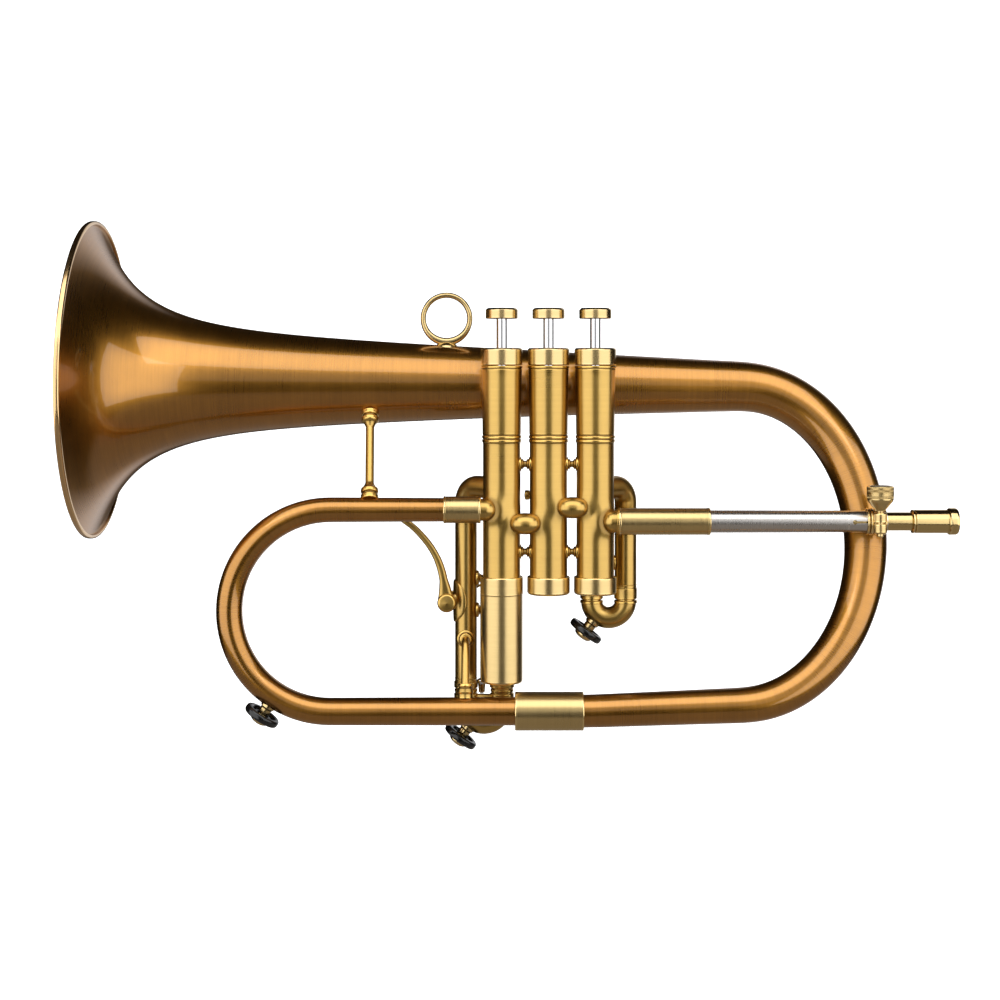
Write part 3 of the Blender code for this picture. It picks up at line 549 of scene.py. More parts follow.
def brushed_metal(name, bright, dark, marks, age, roughness, gloss, gloss_roughness, relief):
    """Aged brushed brass: fine marks round the piece, slow patina clouds, dark grooves, bright edges.

    The share of bright metal is 0.62, plus marks times each of two streak noises, plus age times a
    cloud noise, plus 0.55 of the wear and painted shade that each point holds. Every noise has one
    half taken off it.
    """
    metal = Metal(name)
    lay, wear = metal.lay(), metal.wear()
    fine = metal.noise(lay, (3200.0, 55.0, 55.0), 2.0)
    broad = metal.noise(lay, (620.0, 30.0, 30.0), 3.0)
    cloud = metal.noise(metal.place(), (30.0, 30.0, 30.0), 4.0, 0.6)
    streaks = (fine - 0.5) * marks + (broad - 0.5) * marks
    # Besides edge wear, the per-point attribute carries painted shade at the casing seams, which darkens the
    # share here.
    share = streaks + (cloud - 0.5) * age + wear * 0.55 + 0.62
    rough = (fine - 0.5) * 0.07 + (cloud - 0.5) * 0.10 + roughness - wear * 0.08
    return metal.finish(
        Base_Color=metal.blend(share.clamped(), dark, bright),
        Metallic=1.0,
        Roughness=rough.clamped(),
        Coat_Weight=gloss,
        Coat_Roughness=gloss_roughness,
        Coat_IOR=COAT_IOR,
        Normal=metal.bump(fine + broad * 0.5, relief),
    )


# Marks, age, roughness, gloss, roughness of the gloss and relief of each brushed finish
BRUSHING = {
    "rose": (0.24, 0.50, 0.29, 0.75, 0.045, 5e-7),
    "antique": (0.12, 0.26, 0.30, 0.35, 0.12, 6e-7),
    "pale": (0.08, 0.10, 0.23, 0.25, 0.10, 6e-7),
    "satin": (0.10, 0.12, 0.30, 0.25, 0.15, 8e-7),
    "mirror": (0.06, 0.06, 0.14, 0.0, 0.1, 3e-7),
    "sleeve": (0.10, 0.14, 0.29, 0.25, 0.15, 8e-7),
    "rim": (0.08, 0.10, 0.22, 0.5, 0.05, 5e-7),
    "nickel": (0.08, 0.10, 0.28, 0.2, 0.2, 1e-7),
    "steel": (0.06, 0.05, 0.06, 0.0, 0.1, 4e-7),
}


def scaled(colour, times):
    return tuple(times * value for value in colour)


def make_finishes(colours):
    """Each finish as (material, the record's slot that it stands for)."""
    rose, rose_patina = tuple(colours.rose), tuple(colours.rose_patina)
    antique, antique_patina = tuple(colours.antique), tuple(colours.antique_patina)
    pale, satin, rim = tuple(colours.pale), tuple(colours.satin), tuple(colours.rim)
    nickel, steel = tuple(colours.nickel), tuple(colours.steel)
    metals = {
        "rose": ("brushed_rose_brass", rose, rose_patina, "rose_brass"),
        "antique": ("brushed_antique_brass", antique, antique_patina, "antique_brass"),
        "pale": ("turned_pale_brass", pale, scaled(antique, 0.5), "polished_brass"),
        "satin": ("satin_pale_brass", satin, antique_patina, "polished_brass"),
        "mirror": ("polished_brass", pale, scaled(antique, 0.6), "polished_brass"),
        "sleeve": ("sleeve_brass", satin, antique_patina, "antique_brass"),
        "rim": ("rim_brass", rim, rose_patina, "rose_brass"),
        "nickel": ("satin_nickel_silver", nickel, scaled(nickel, 0.55), "nickel_silver"),
        "steel": ("polished_steel", steel, scaled(steel, 0.6), "polished_steel"),
    }
    finishes = {}
    for finish, (name, bright, dark, slot) in metals.items():
        finishes[finish] = (brushed_metal(name, bright, dark, *BRUSHING[finish]), slot)
    finishes["black"] = (moulded_black("moulded_black", tuple(colours.black)), "black_rubber")
    return finishes


def moulded_black(name, colour):
    """Hard black moulding: a fine pebble in the gloss and slightly greyed edges."""
    metal = Metal(name)
    pebble = metal.noise(metal.place(), (2600.0, 2600.0, 2600.0), 3.0)
    wear = metal.wear()
    grey = scaled(colour, 6)
    return metal.finish(
        Base_Color=metal.blend((wear * 0.5 + (pebble - 0.5) * 0.2).clamped(), colour, grey),
        Metallic=0.0,
        Roughness=(pebble - 0.5) * 0.1 + 0.16,
        Normal=metal.bump(pebble, 8e-6),
    )


def ringed_metal(name, colour, rings):
    """Hidden works: fine rings turned square to +Z, read from object coordinates."""
    metal = Metal(name)
    place = metal.place()
    marks = metal.noise(place, (40.0, 40.0, rings), 2.0)
    dull = scaled(colour, 0.6)
    return metal.finish(
        Base_Color=metal.blend(marks, dull, colour),
        Metallic=1.0,
        Roughness=(marks - 0.5) * 0.2 + 0.28,
        Normal=metal.bump(marks, 4e-6),
    )


# Filled by mix_finishes: (material, slot) of each finish, and the materials of the works inside

FINISHES = {}
HIDDEN = {}


# Pieces


def piece(name, surfaces, finish, body="horn", stands_for=()):
    """Joins surfaces into one object, closes seams and poles, and fastens it to its body."""
    counts = np.cumsum([0] + [len(part["points"]) for part in surfaces])
    points = np.concatenate([part["points"] for part in surfaces])
    faces = np.concatenate([part["faces"] + start for part, start in zip(surfaces, counts)])
    mesh = bpy.data.meshes.new(name)
    mesh.from_pydata(points.tolist(), [], faces.tolist())
    lay = mesh.attributes.new("lay", "FLOAT_VECTOR", "POINT")
    lay.data.foreach_set("vector", np.concatenate([part["lay"] for part in surfaces]).ravel())
    wear = mesh.attributes.new("wear", "FLOAT", "POINT")
    wear.data.foreach_set("value", np.concatenate([part["wear"] for part in surfaces]))
    close_seams(mesh)
    mesh.shade_smooth()
    mesh.set_sharp_from_angle(angle=SHARP_EDGE)
    obj = bpy.data.objects.new(name, mesh)
    bpy.context.scene.collection.objects.link(obj)
    material, slot = FINISHES[finish]
    mesh.materials.append(material)
    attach(obj, body)
    if stands_for:
        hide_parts(*stands_for)
    return obj


def close_seams(mesh):
    """Merges the points that meet at seams and poles, then faces every closed part outwards."""
    shape = bmesh.new()
    shape.from_mesh(mesh)
    bmesh.ops.remove_doubles(shape, verts=shape.verts, dist=1e-7)
    bmesh.ops.dissolve_degenerate(shape, edges=shape.edges, dist=1e-8)
    bmesh.ops.recalc_face_normals(shape, faces=shape.faces)
    shape.to_mesh(mesh)
    shape.free()


def carve(obj, *cutters):
    """Takes cutter surfaces out of a piece for good."""
    for number, cutter in enumerate(cutters):
        mesh = bpy.data.meshes.new("cutter")
        mesh.from_pydata(cutter["points"].tolist(), [], cutter["faces"].tolist())
        close_seams(mesh)
        tool = bpy.data.objects.new("cutter", mesh)
        bpy.context.scene.collection.objects.link(tool)
        step = obj.modifiers.new(f"cut_{number}", "BOOLEAN")
        step.operation = "DIFFERENCE"
        step.solver = "EXACT"
        step.object = tool
        bpy.context.view_layer.update()
        cut = bpy.data.meshes.new_from_object(obj.evaluated_get(bpy.context.evaluated_depsgraph_get()))
        obj.modifiers.clear()
        cut.name = obj.name
        obj.data = cut
        bpy.data.objects.remove(tool)
    obj.data.shade_smooth()
    obj.data.set_sharp_from_angle(angle=SHARP_EDGE)


def bar(lowest, highest):
    """A plain box between two corners, as a surface: a square section carried along Y."""
    lowest, highest = np.asarray(lowest, float), np.asarray(highest, float)
    centre, half = (lowest + highest) / 2, (highest - lowest) / 2
    path = np.array([centre - ALONG_Y * half[1], centre + ALONG_Y * half[1]])
    square = math.sqrt(2)
    angle = math.pi / 4 + np.arange(4) * math.pi / 2
    grid = path[:, None] + (np.cos(angle) * half[0] * square)[None, :, None] * ALONG_X
    grid = grid + (np.sin(angle) * half[2] * square)[None, :, None] * ALONG_Z
    ends = [np.broadcast_to(point, (1, 4, 3)) for point in path]
    grid = np.concatenate([ends[0], grid, ends[1]])
    return surface(grid, np.zeros_like(grid), 0.0)


# Bell and bows


def bell_axis_z(x):
    """Height of the bell's axis: the rim's middle, less the axis fall times the distance behind it."""
    shape = bpy.context.scene.flugelhorn_bell
    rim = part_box("bell")
    return (rim[0].z + rim[1].z) / 2 - shape.axis_fall * (x - rim[0].x)


def bell_radius(along):
    """The flare's radius at a distance behind the rim, by the formula of BellShape."""
    shape = bpy.context.scene.flugelhorn_bell
    flare = shape.flare * (1 + along / shape.flare_length) ** shape.power
    return shape.base_radius - shape.taper * along + flare


def make_bell():
    """Flare turned about its leaning axis, a second skin inside it, and a rolled wire at the rim."""
    shape = bpy.context.scene.flugelhorn_bell
    rim_inset = 1.1 * MM
    rim_x = low("bell")[0] + rim_inset
    seam = 2.0 * MM
    length = high("bell")[0] - rim_x + seam
    along = length * np.linspace(0.0, 1.0, 150) ** 1.7
    radius = bell_radius(along)
    slope = np.gradient(radius, along)
    inset = shape.wall / np.hypot(1.0, slope)
    outer = np.stack([radius, along], axis=1)
    inner = np.stack([radius - inset, along + inset * slope], axis=1)
    profile = np.concatenate([outer, inner[::-1], outer[:1]])
    place = (rim_x, middle("bell")[1], bell_axis_z(rim_x - rim_inset))
    axis = (1.0, 0.0, -shape.axis_fall)
    skin = turned(profile, place, axis, sides=160, step=4.0 * MM)
    piece("bell_flare", [skin], "rose", stands_for=["bell"])
    rim = bell_radius(0.0) / MM
    wire = outline(
        (rim - 1.5, -1.1, 0.5),
        (rim + 0.35, -1.1, 0.9),
        (rim + 0.35, 1.55, 0.9),
        (rim - 1.5, 1.9, 0.5),
        closed=True,
    )
    piece("bell_rim_wire", [turned(wire, place, axis, sides=180)], "rim")


def big_bow_path():
    """Top run, half ellipse leaning towards the player's left, then the bottom run."""
    shape = bpy.context.scene.flugelhorn_bows
    start_y = middle("bell")[1]
    top = np.array([shape.top_x, start_y, shape.top_z])
    bottom = np.array([shape.bottom_x, TUBE_PLANE_Y, shape.bottom_z])
    centre = (top + bottom) / 2
    reach = (shape.reach_x - centre[0]) * ALONG_X
    lap = 3.0 * MM
    start = np.array([low("bell_bow")[0] - lap, start_y, bell_axis_z(0.0)])
    level = np.array([20.0 * MM, TUBE_PLANE_Y, BOTTOM_RUN_Z])
    end = np.array([0.5 * MM, TUBE_PLANE_Y, BOTTOM_RUN_Z])
    bend = arc(centre, top - centre, reach, 0.0, math.pi, 160)
    return eased(np.concatenate([[start], bend, [level, end]]), 16.0 * MM)


def make_bell_bow():
    """Tapered tube along the big bow, its radius read from stations along its length."""
    path = big_bow_path()
    share = np.linspace(0.0, 1.0, len(path))
    stations = (0.0, 0.24, 0.51, 0.78, 1.0)
    radii = np.array((bell_radius(-low("bell")[0]) / MM + 0.12, 12.6, 10.4, 8.5, 7.75)) * MM
    smooth = eased(np.stack([share * 0.4, np.interp(share, stations, radii)], axis=1), 40.0 * MM)
    radius = np.interp(share, smooth[:, 0] / 0.4, smooth[:, 1])
    piece("bell_bow_tube", [tube(path, radius, sides=96)], "rose", stands_for=["bell_bow"])


def make_front_bow():
    """Top run from the outlet, half circle, bottom run into the ferrule."""
    shape = bpy.context.scene.flugelhorn_bows
    centre = np.array([shape.front_x, TUBE_PLANE_Y, shape.front_z])
    start = np.array([OUTLET_END_X, TUBE_PLANE_Y, OUTLET_Z])
    end = np.array([-0.5 * MM, TUBE_PLANE_Y, BOTTOM_RUN_Z])
    size = shape.front_size
    bend = arc(centre, size * ALONG_Z, -size * ALONG_X, 0.0, math.pi, 120)
    path = eased(np.concatenate([[start], bend, [end]]), 8.0 * MM)
    share = np.linspace(0.0, 1.0, len(path))
    radius = np.interp(share, (0.0, 0.45, 1.0), np.array((5.65, 6.4, 6.9)) * MM)
    piece("front_bow_tube", [tube(path, radius, sides=80)], "rose", stands_for=["front_bow"])


def make_ferrules():
    """Turned sleeves with a fine bright lip at each end; the front one also steps down a little near each
    end.
    """
    half = (high("bow_ferrule")[0] - low("bow_ferrule")[0]) / 2 / MM
    side = [(7.8, half, 0.0), (9.1, half, 0.15), (9.3, half - 0.35, 0.15)]
    mirrored = [(radius, -height, rounding) for radius, height, rounding in side[::-1]]
    profile = outline(*(side + mirrored), closed=True)
    band = turned(profile, middle("bow_ferrule"), ALONG_X)
    piece("bow_ferrule_band", [band], "satin", stands_for=["bow_ferrule"])
    half = (high("front_ferrule")[0] - low("front_ferrule")[0]) / 2 / MM
    side = [(5.4, half, 0.0), (6.35, half, 0.2), (6.6, half - 0.35, 0.15), (6.6, half - 0.9, 0.1)]
    side += [(6.48, half - 1.1, 0.1)]
    mirrored = [(radius, -height, rounding) for radius, height, rounding in side[::-1]]
    profile = outline(*(side + mirrored), closed=True)
    band = turned(profile, middle("front_ferrule"), ALONG_X)
    piece("front_ferrule_band", [band], "sleeve", stands_for=["front_ferrule"])


def make_finger_ring():
    """Ring thickest at its foot, which flares onto the bell."""
    centre = middle("finger_ring")
    top = high("finger_ring")[2]
    size = 11.8 * MM
    centre = np.array([centre[0], centre[1], top - size - 1.4 * MM])

    def grow(angle):
        first, second = across(ALONG_Y)
        height = np.cos(angle) * first[2] + np.sin(angle) * second[2]
        return 1.0 + 0.45 * np.clip(-height, 0.0, 1.0) ** 2

    band = ring_band(centre, ALONG_Y, size, 1.4 * MM, 2.1 * MM, power=2.4, sides=160, grow=grow)
    foot_z = bell_axis_z(centre[0]) + bell_radius(centre[0] - low("bell")[0])
    base = (foot_z - centre[2]) / MM
    foot = outline(
        (0, base - 1.2),
        (6.2, base - 1.2, 0.2),
        (5.2, base + 0.35, 0.5),
        (3.0, base + 1.6, 0.8),
        (0, base + 1.9),
    )
    stand = turned(foot, centre, ALONG_Z)
    piece("finger_ring_band", [band, stand], "pale", stands_for=["finger_ring"])


def stay_profile(length, flange, waist, spread):
    """Turned stay: a flange and a ring at each end, drawn in to a plain rod between them."""
    half = length / 2
    end = [
        (0, half),
        (flange, half, 0.3),
        (flange, half - 2.2, 0.4),
        (flange - 1.0, half - 2.6, 0.2),
        (flange - 1.0, half - 3.2, 0.2),
        (flange, half - 3.6, 0.4),
        (flange, half - 5.4, 0.6),
        (waist + 0.9, half - 6.6, 0.4),
        (waist, half - 6.6 - spread, 0.6),
    ]
    mirrored = [(corner[0], -corner[1], *corner[2:]) for corner in end[::-1]]
    return outline(*(end + mirrored))


def stay(start, end, flange, waist, spread=2.0):
    """A turned stay between two points."""
    start, end = np.asarray(start, float), np.asarray(end, float)
    length = np.linalg.norm(end - start)
    return turned(stay_profile(length / MM, flange, waist, spread), (start + end) / 2, unit(end - start))


def make_stays():
    """The struts that tie bell, bows and valve block together."""
    start = (-87.3 * MM, TUBE_PLANE_Y, OUTLET_Z + 5.0 * MM)
    end = (-88.6 * MM, 15.0 * MM, 29.6 * MM)
    piece("bell_stay", [stay(start, end, 4.3, 2.1)], "antique", stands_for=["bell_brace"])
    x = VALVE_X[3]
    height = middle("valve_bell_brace")[2]
    start, end = (x, 8.4 * MM, height), (x, 14.6 * MM, height)
    short = outline((0, -3.4), (4.2, -3.4, 0.3), (2.6, -1.4, 0.6), (2.6, 1.2, 0.6), (4.2, 4.6, 0.3), (0, 5.4))
    strut = turned(short, (np.array(start) + np.array(end)) / 2, ALONG_Y)
    piece("valve_bell_stay", [strut], "antique", stands_for=["valve_bell_brace"])
    make_bent_stay()


def make_bent_stay():
    """Rod from a rosette on the third slide's fixed leg, forward and down to the bottom run."""
    x = middle("front_bow_brace")[0]
    top = -83.4 * MM
    path = np.array(
        [
            (x, 12.0 * MM, top),
            (x, 8.8 * MM, top),
            (x, 5.0 * MM, -84.6 * MM),
            (x, 2.6 * MM, -88.2 * MM),
            (x, -4.9 * MM, -103.6 * MM),
            (x, -6.4 * MM, -110.6 * MM),
        ]
    )
    rod = tube(eased(path, 4.0 * MM), 1.95 * MM, ALONG_X, 40)
    rosette = [(0, -2.4), (4.4, -2.4, 0.2), (4.4, -0.9, 0.4), (3.3, -0.5, 0.2), (3.0, 0.6, 0.4), (0, 1.4)]
    flower = turned(outline(*rosette), (x, 10.4 * MM, top), -ALONG_Y)
    down = unit(path[5] - path[4])
    lower = [(0, -0.6), (3.3, -0.6, 0.4), (3.6, 0.9, 0.3), (3.1, 1.3, 0.2), (3.1, 1.7, 0.2), (4.0, 2.1, 0.4)]
    upper = [(4.2, 3.6, 0.4), (3.6, 4.6, 0.2), (3.6, 6.6), (0, 6.6)]
    socket = np.concatenate([outline(*lower), outline(*upper)])
    cup = turned(socket, path[4] - down * 0.4 * MM, down)
    piece("front_bow_stay", [rod, flower, cup], "antique", stands_for=["front_bow_brace"])


# Valves


def joint_blend(points, centres):
    """Rough distance from each point to the nearest joint ball, a ball being (centre, half sizes).

    It is the length of the offset over the half sizes, less one, times the mean half size.
    """
    gaps = []
    for centre, half in centres:
        offset = (points - np.asarray(centre)) / np.asarray(half)
        gaps.append((np.linalg.norm(offset, axis=-1) - 1.0) * np.mean(half))
    return np.min(gaps, axis=0)


def joint_balls():
    """Where knuckles and crossovers meet the casings, as (centre, half sizes)."""
    inlet = (VALVE_X[1] + 6.6 * MM, KNUCKLE_Y, MOUTHPIPE_Z)
    outlet = (VALVE_X[3] - 6.0 * MM, KNUCKLE_Y, OUTLET_Z)
    balls = [(inlet, (6.0 * MM, 5.9 * MM, 5.9 * MM)), (outlet, (6.0 * MM, 5.5 * MM, 5.5 * MM))]
    for name in ("crossover_12", "crossover_23"):
        centre = middle(name)
        centre[1] = LINK_Y
        balls.append((centre, (7.1 * MM, 5.2 * MM, 5.2 * MM)))
    return balls


def make_casings():
    """Turned casings, raised into a solder fillet wherever a tube or a knuckle joins them.

    The rise is fillet * exp(-(gap / fillet_reach) ** 1.5), where gap is the distance to the nearest
    joint ball. The seam beside it is darkened and roughened in the same way over a shorter reach: painted
    shade in the crease where the joint meets the casing, with some patina.
    """
    fillet, fillet_reach, seam_reach = 0.75 * MM, 2.3 * MM, 0.9 * MM
    balls = joint_balls()
    corners = [
        (8.5, -57.4),
        (9.2, -57.4, 0.2),
        (9.2, 14.4, 0.3),
        (9.34, 14.8, 0.2),
        (9.62, 15.2, 0.3),
        (9.62, 16.2, 0.3),
        (9.22, 16.5, 0.12),
        (9.22, 16.75, 0.12),
        (9.68, 17.0, 0.35),
        (9.68, 18.0, 0.35),
        (9.25, 18.3, 0.12),
        (9.25, 18.55, 0.12),
        (9.42, 19.0, 0.3),
        (9.50, 27.0, 4.0),
        (9.72, 40.0, 5.0),
        (9.74, 48.0, 1.5),
        (9.95, 50.5, 0.4),
        (9.80, 50.9, 0.12),
        (9.80, 51.1, 0.12),
        (10.2, 51.35, 0.3),
        (10.2, 52.3, 0.3),
        (8.9, 52.4),
    ]
    profile = spaced(outline(*corners, closed=True), 0.8 * MM)
    for number in VALVE_NUMBERS:
        shell = turned(profile, (VALVE_X[number], 0, 0), sides=128)
        points = shell["points"]
        spoke = points * (1, 1, 0) - (VALVE_X[number], 0, 0)
        outer = np.linalg.norm(spoke, axis=1) > 9.1 * MM
        gap = np.maximum(joint_blend(points, balls), 0.0)
        rise = fillet * np.exp(-((gap / fillet_reach) ** 1.5)) * outer
        shell["points"] = points + unit(spoke) * rise[:, None]
        # Painted shade, with some patina: darkens the seam where a tube or knuckle joins the casing.
        shell["wear"] = shell["wear"] - 0.75 * np.exp(-((gap / seam_reach) ** 2)) * outer
        parts = [shell]
        if number == 2:
            parts += second_slide_legs()
        piece(f"casing_{number}", parts, "antique", stands_for=[f"valve_casing_{number}"])


def ball_profile(radius, reach, tail):
    """Half ball of that reach on a straight tail."""
    angle = np.linspace(0.0, math.pi / 2, 24)
    dome = np.stack([radius * np.cos(angle), reach * np.sin(angle)], axis=1)
    return np.concatenate([[(0, -tail), (radius, -tail)], dome]) * MM


def make_knuckles():
    """Rounded elbows into casings 1 and 3, and the bulged links between the casings."""
    sleeve_start = low("mouthpipe_sleeve")[0]
    band = [(5.0, 0.9), (6.2, 0.9, 0.2), (6.2, 2.3, 0.3), (5.5, 2.6, 0.1), (0, 2.6)]
    dome = turned(ball_profile(5.45, 4.9, 3.4), (sleeve_start - 2.6 * MM, KNUCKLE_Y, MOUTHPIPE_Z), -ALONG_X)
    ring = turned(outline((0, 0.9), *band), (sleeve_start - 1.6 * MM, KNUCKLE_Y, MOUTHPIPE_Z), ALONG_X)
    piece("inlet_knuckle", [dome, ring], "antique")
    ferrule_end = high("front_ferrule")[0]
    dome = turned(ball_profile(5.35, 5.4, 4.0), (ferrule_end + 2.2 * MM, KNUCKLE_Y, OUTLET_Z), ALONG_X)
    piece("outlet_knuckle", [dome], "antique")
    for name in ("crossover_12", "crossover_23"):
        angle = np.linspace(-math.pi / 2, math.pi / 2, 56)
        flat = np.sign(np.sin(angle)) * np.abs(np.sin(angle)) ** 0.9
        profile = np.stack([5.2 * MM * np.cos(angle) ** 0.9, 7.1 * MM * flat], axis=1)
        profile[[0, -1], 0] = 0.0
        centre = middle(name)
        ball = turned(profile, (centre[0], LINK_Y, centre[2]), ALONG_X)
        piece(f"{name}_ball", [ball], "antique", stands_for=[name])


def make_casing_stays():
    """Dog-bone stays between the casings."""
    end = [(0, 2.95), (3.5, 2.95, 0.1), (3.5, 2.0, 0.4), (2.5, 1.75, 0.2), (2.35, 1.5, 0.2), (2.7, 1.2, 0.3)]
    end += [(1.75, 0.7, 0.3)]
    mirrored = [(corner[0], -corner[1], *corner[2:]) for corner in end[::-1]]
    profile = outline(*(end + [(1.55, 0.3, 0.1)] + [(1.55, -0.3, 0.1)] + mirrored))
    for pair in ("12", "23"):
        for level in ("upper", "lower"):
            node = f"casing_brace_{pair}_{level}"
            bone = turned(profile, middle(node), ALONG_X, sides=48, step=0.3 * MM)
            piece(f"casing_stay_{pair}_{level}", [bone], "antique", stands_for=[node])


def make_caps():
    """Top caps with a dished face, bottom caps with a vent, and the long cap of valve 3."""
    for number in VALVE_NUMBERS:
        x = VALVE_X[number]
        node = f"top_cap_{number}"
        base, height = low(node)[2], (high(node)[2] - low(node)[2]) / MM
        profile = outline(
            (9.3, 0),
            (9.95, 0, 0.15),
            (10.2, 0.3, 0.12),
            (10.2, height - 0.75, 0.2),
            (9.6, height - 0.05, 0.25),
            (8.6, height, 0.3),
            (7.9, height - 0.5, 0.4),
            (4.6, height - 0.6, 0.6),
            (4.1, height - 0.1, 0.25),
            (3.05, height - 0.1, 0.2),
            (3.05, height - 2.0),
            (9.3, height - 2.2),
            closed=True,
        )
        cap = turned(profile, (x, 0, base), sides=120)
        piece(f"top_cap_shell_{number}", [cap], "pale", stands_for=[node])
        node = f"bottom_cap_{number}"
        base, height = low(node)[2], (high(node)[2] - low(node)[2]) / MM
        grip = 8.7
        lower = [(10.25, 1.0, 0.2)] if number == 3 else [(10.45, 0.9, 0.2)]
        shank = [(10.28, height - grip, 0.15), (10.45, height - grip + 0.25, 0.15)] if number == 3 else []
        profile = outline(
            (0, 1.6),
            (1.3, 1.6, 0.2),
            (1.5, 0.5, 0.2),
            (7.4, 0.7, 0.6),
            (8.4, 0.0, 0.4),
            (9.7, 0.0, 0.4),
            *lower,
            *shank,
            (10.45, height - 0.35, 0.15),
            (10.2, height, 0.15),
            (9.3, height),
            (9.3, height - 6.5),
            (0, height - 6.5),
        )
        cap = turned(profile, (x, 0, base), sides=120)
        piece(f"bottom_cap_shell_{number}", [cap], "satin", stands_for=[node])


def make_valves():
    """What moves when a valve is pressed: stem and button outside, piston and spring within."""
    for number in VALVE_NUMBERS:
        x = VALVE_X[number]
        body = f"valve_{number}"
        node = f"stem_{number}"
        base, height = low(node)[2], (high(node)[2] - low(node)[2]) / MM
        profile = outline(
            (0, 0),
            (2.6, 0, 0.1),
            (2.6, 33.7, 0.2),
            (7.1, 33.7, 0.3),
            (7.1, 35.0, 0.3),
            (2.6, 35.0, 0.2),
            (2.6, height + 0.1),
            (0, height + 0.1),
        )
        piece(f"stem_rod_{number}", [turned(profile, (x, 0, base), sides=72)], "steel", body, [node])
        node = f"finger_button_{number}"
        base, height = low(node)[2], (high(node)[2] - low(node)[2]) / MM
        profile = outline(
            (0, 0),
            (7.7, 0, 0.1),
            (7.9, 0.25, 0.1),
            (7.9, height - 0.9, 0.12),
            (6.9, height, 0.12),
            (6.1, height, 0.3),
            (5.4, height - 0.45, 0.8),
            (0, height - 0.75),
        )
        piece(f"button_{number}", [turned(profile, (x, 0, base))], "pale", body, [node])
        make_spring(number)
        for node, colour in ((f"piston_{number}", "nickel"), (f"valve_guide_{number}", "pale")):
            frame["nodes"][node].data.materials.clear()
            frame["nodes"][node].data.materials.append(HIDDEN[colour])


def make_spring(number):
    """Helix with closed end turns."""
    node = f"valve_spring_{number}"
    base, top = low(node)[2], high(node)[2]
    wire = 0.42 * MM
    turns = 7.0
    share = np.linspace(0.0, 1.0, 700)
    climb = np.clip((share - 0.12) / 0.76, 0.0, 1.0)
    angle = math.tau * turns * share
    path = np.stack(
        [
            VALVE_X[number] + 6.2 * MM * np.cos(angle),
            6.2 * MM * np.sin(angle),
            base + wire + (top - base - 2 * wire) * (climb * 0.9 + share * 0.1),
        ],
        axis=1,
    )
    coil = piece(f"spring_coil_{number}", [tube(path, wire, ALONG_Z, 12)], "steel", stands_for=[node])
    stroke = joint_named(f"valve_{number}_press")["range_m"][1]
    keep = 1.0 - (stroke + 0.3 * MM) / (top - base)
    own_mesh(coil)


# Slides


def collar(radius, start, end, lip=0.25):
    """A short sleeve on a tube, as a ring profile with rounded lips, in millimetres."""
    return outline(
        (radius - 1.4, start),
        (radius - lip, start, 0.12),
        (radius, start + lip, 0.12),
        (radius, end - lip, 0.12),
        (radius - lip, end, 0.12),
        (radius - 1.4, end),
        closed=True,
    )


def slide_leg(number, x, bottom, port, bend):
    """Fixed leg: straight up, a quarter bend of that radius towards the casing, into its wall."""
    inward = np.array([VALVE_X[number] - x, -SLIDE_Y, 0.0])
    reach = np.linalg.norm(inward) - 7.5 * MM
    inward = unit(inward)
    centre = np.array([x, SLIDE_Y, port - bend]) + inward * bend
    turn = arc(centre, -inward * bend, ALONG_Z * bend, 0.0, math.pi / 2, 30)
    end = np.array([x, SLIDE_Y, port]) + inward * reach
    path = np.concatenate([[(x, SLIDE_Y, bottom + 0.2 * MM)], turn, [end]])
    level = np.cross(inward, ALONG_Z)
    path = spaced(path, 1.0 * MM)
    return tube(path, LEG_RADIUS, level, 64)


def slide_bow(first, second, outward, step, level, inner):
    """Two thin inner legs that step up to the bow joining them."""
    centre = (first + second) / 2
    radius = np.linalg.norm(first - second) / 2
    start = centre + outward * step
    bend = arc(start, first - centre, outward * radius, 0.0, math.pi, 60)
    low_end, high_end = outward * 0.7 * MM, outward * 0.75 * MM
    path = np.concatenate(
        [
            [first - outward * inner, first + low_end],
            [first + high_end],
            bend,
            [second + high_end],
            [second + low_end, second - outward * inner],
        ]
    )
    radii = np.full(len(path), 5.35 * MM)
    radii[[0, 1, -2, -1]] = 4.7 * MM
    rings = []
    for centre_line in (first, second):
        rings.append(turned(collar(5.75, 0.75, 2.2), centre_line, outward, sides=64, step=0.4 * MM))
    return [tube(path, radii, level, 64), *rings]


def second_slide_frame():
    """Direction that the second slide pulls out in, and the ends of its fixed legs."""
    axis = np.array(joint_named("second_slide_pull")["axis"], float)
    return axis, 34.0 * MM, (-5.5 * MM, -22.5 * MM)


def second_slide_legs():
    """Two straight tubes out of casing 2, each with a sleeve at its end."""
    axis, end, heights = second_slide_frame()
    parts = []
    for height in heights:
        start = np.array([0.0, 0.0, height])
        path = spaced(np.array([start + axis * 8.0 * MM, start + axis * end]), 1.0 * MM)
        parts.append(tube(path, LEG_RADIUS, ALONG_Z, 64))
        parts.append(turned(collar(5.85, end / MM - 6.0, end / MM), start, axis, sides=64))
    return parts


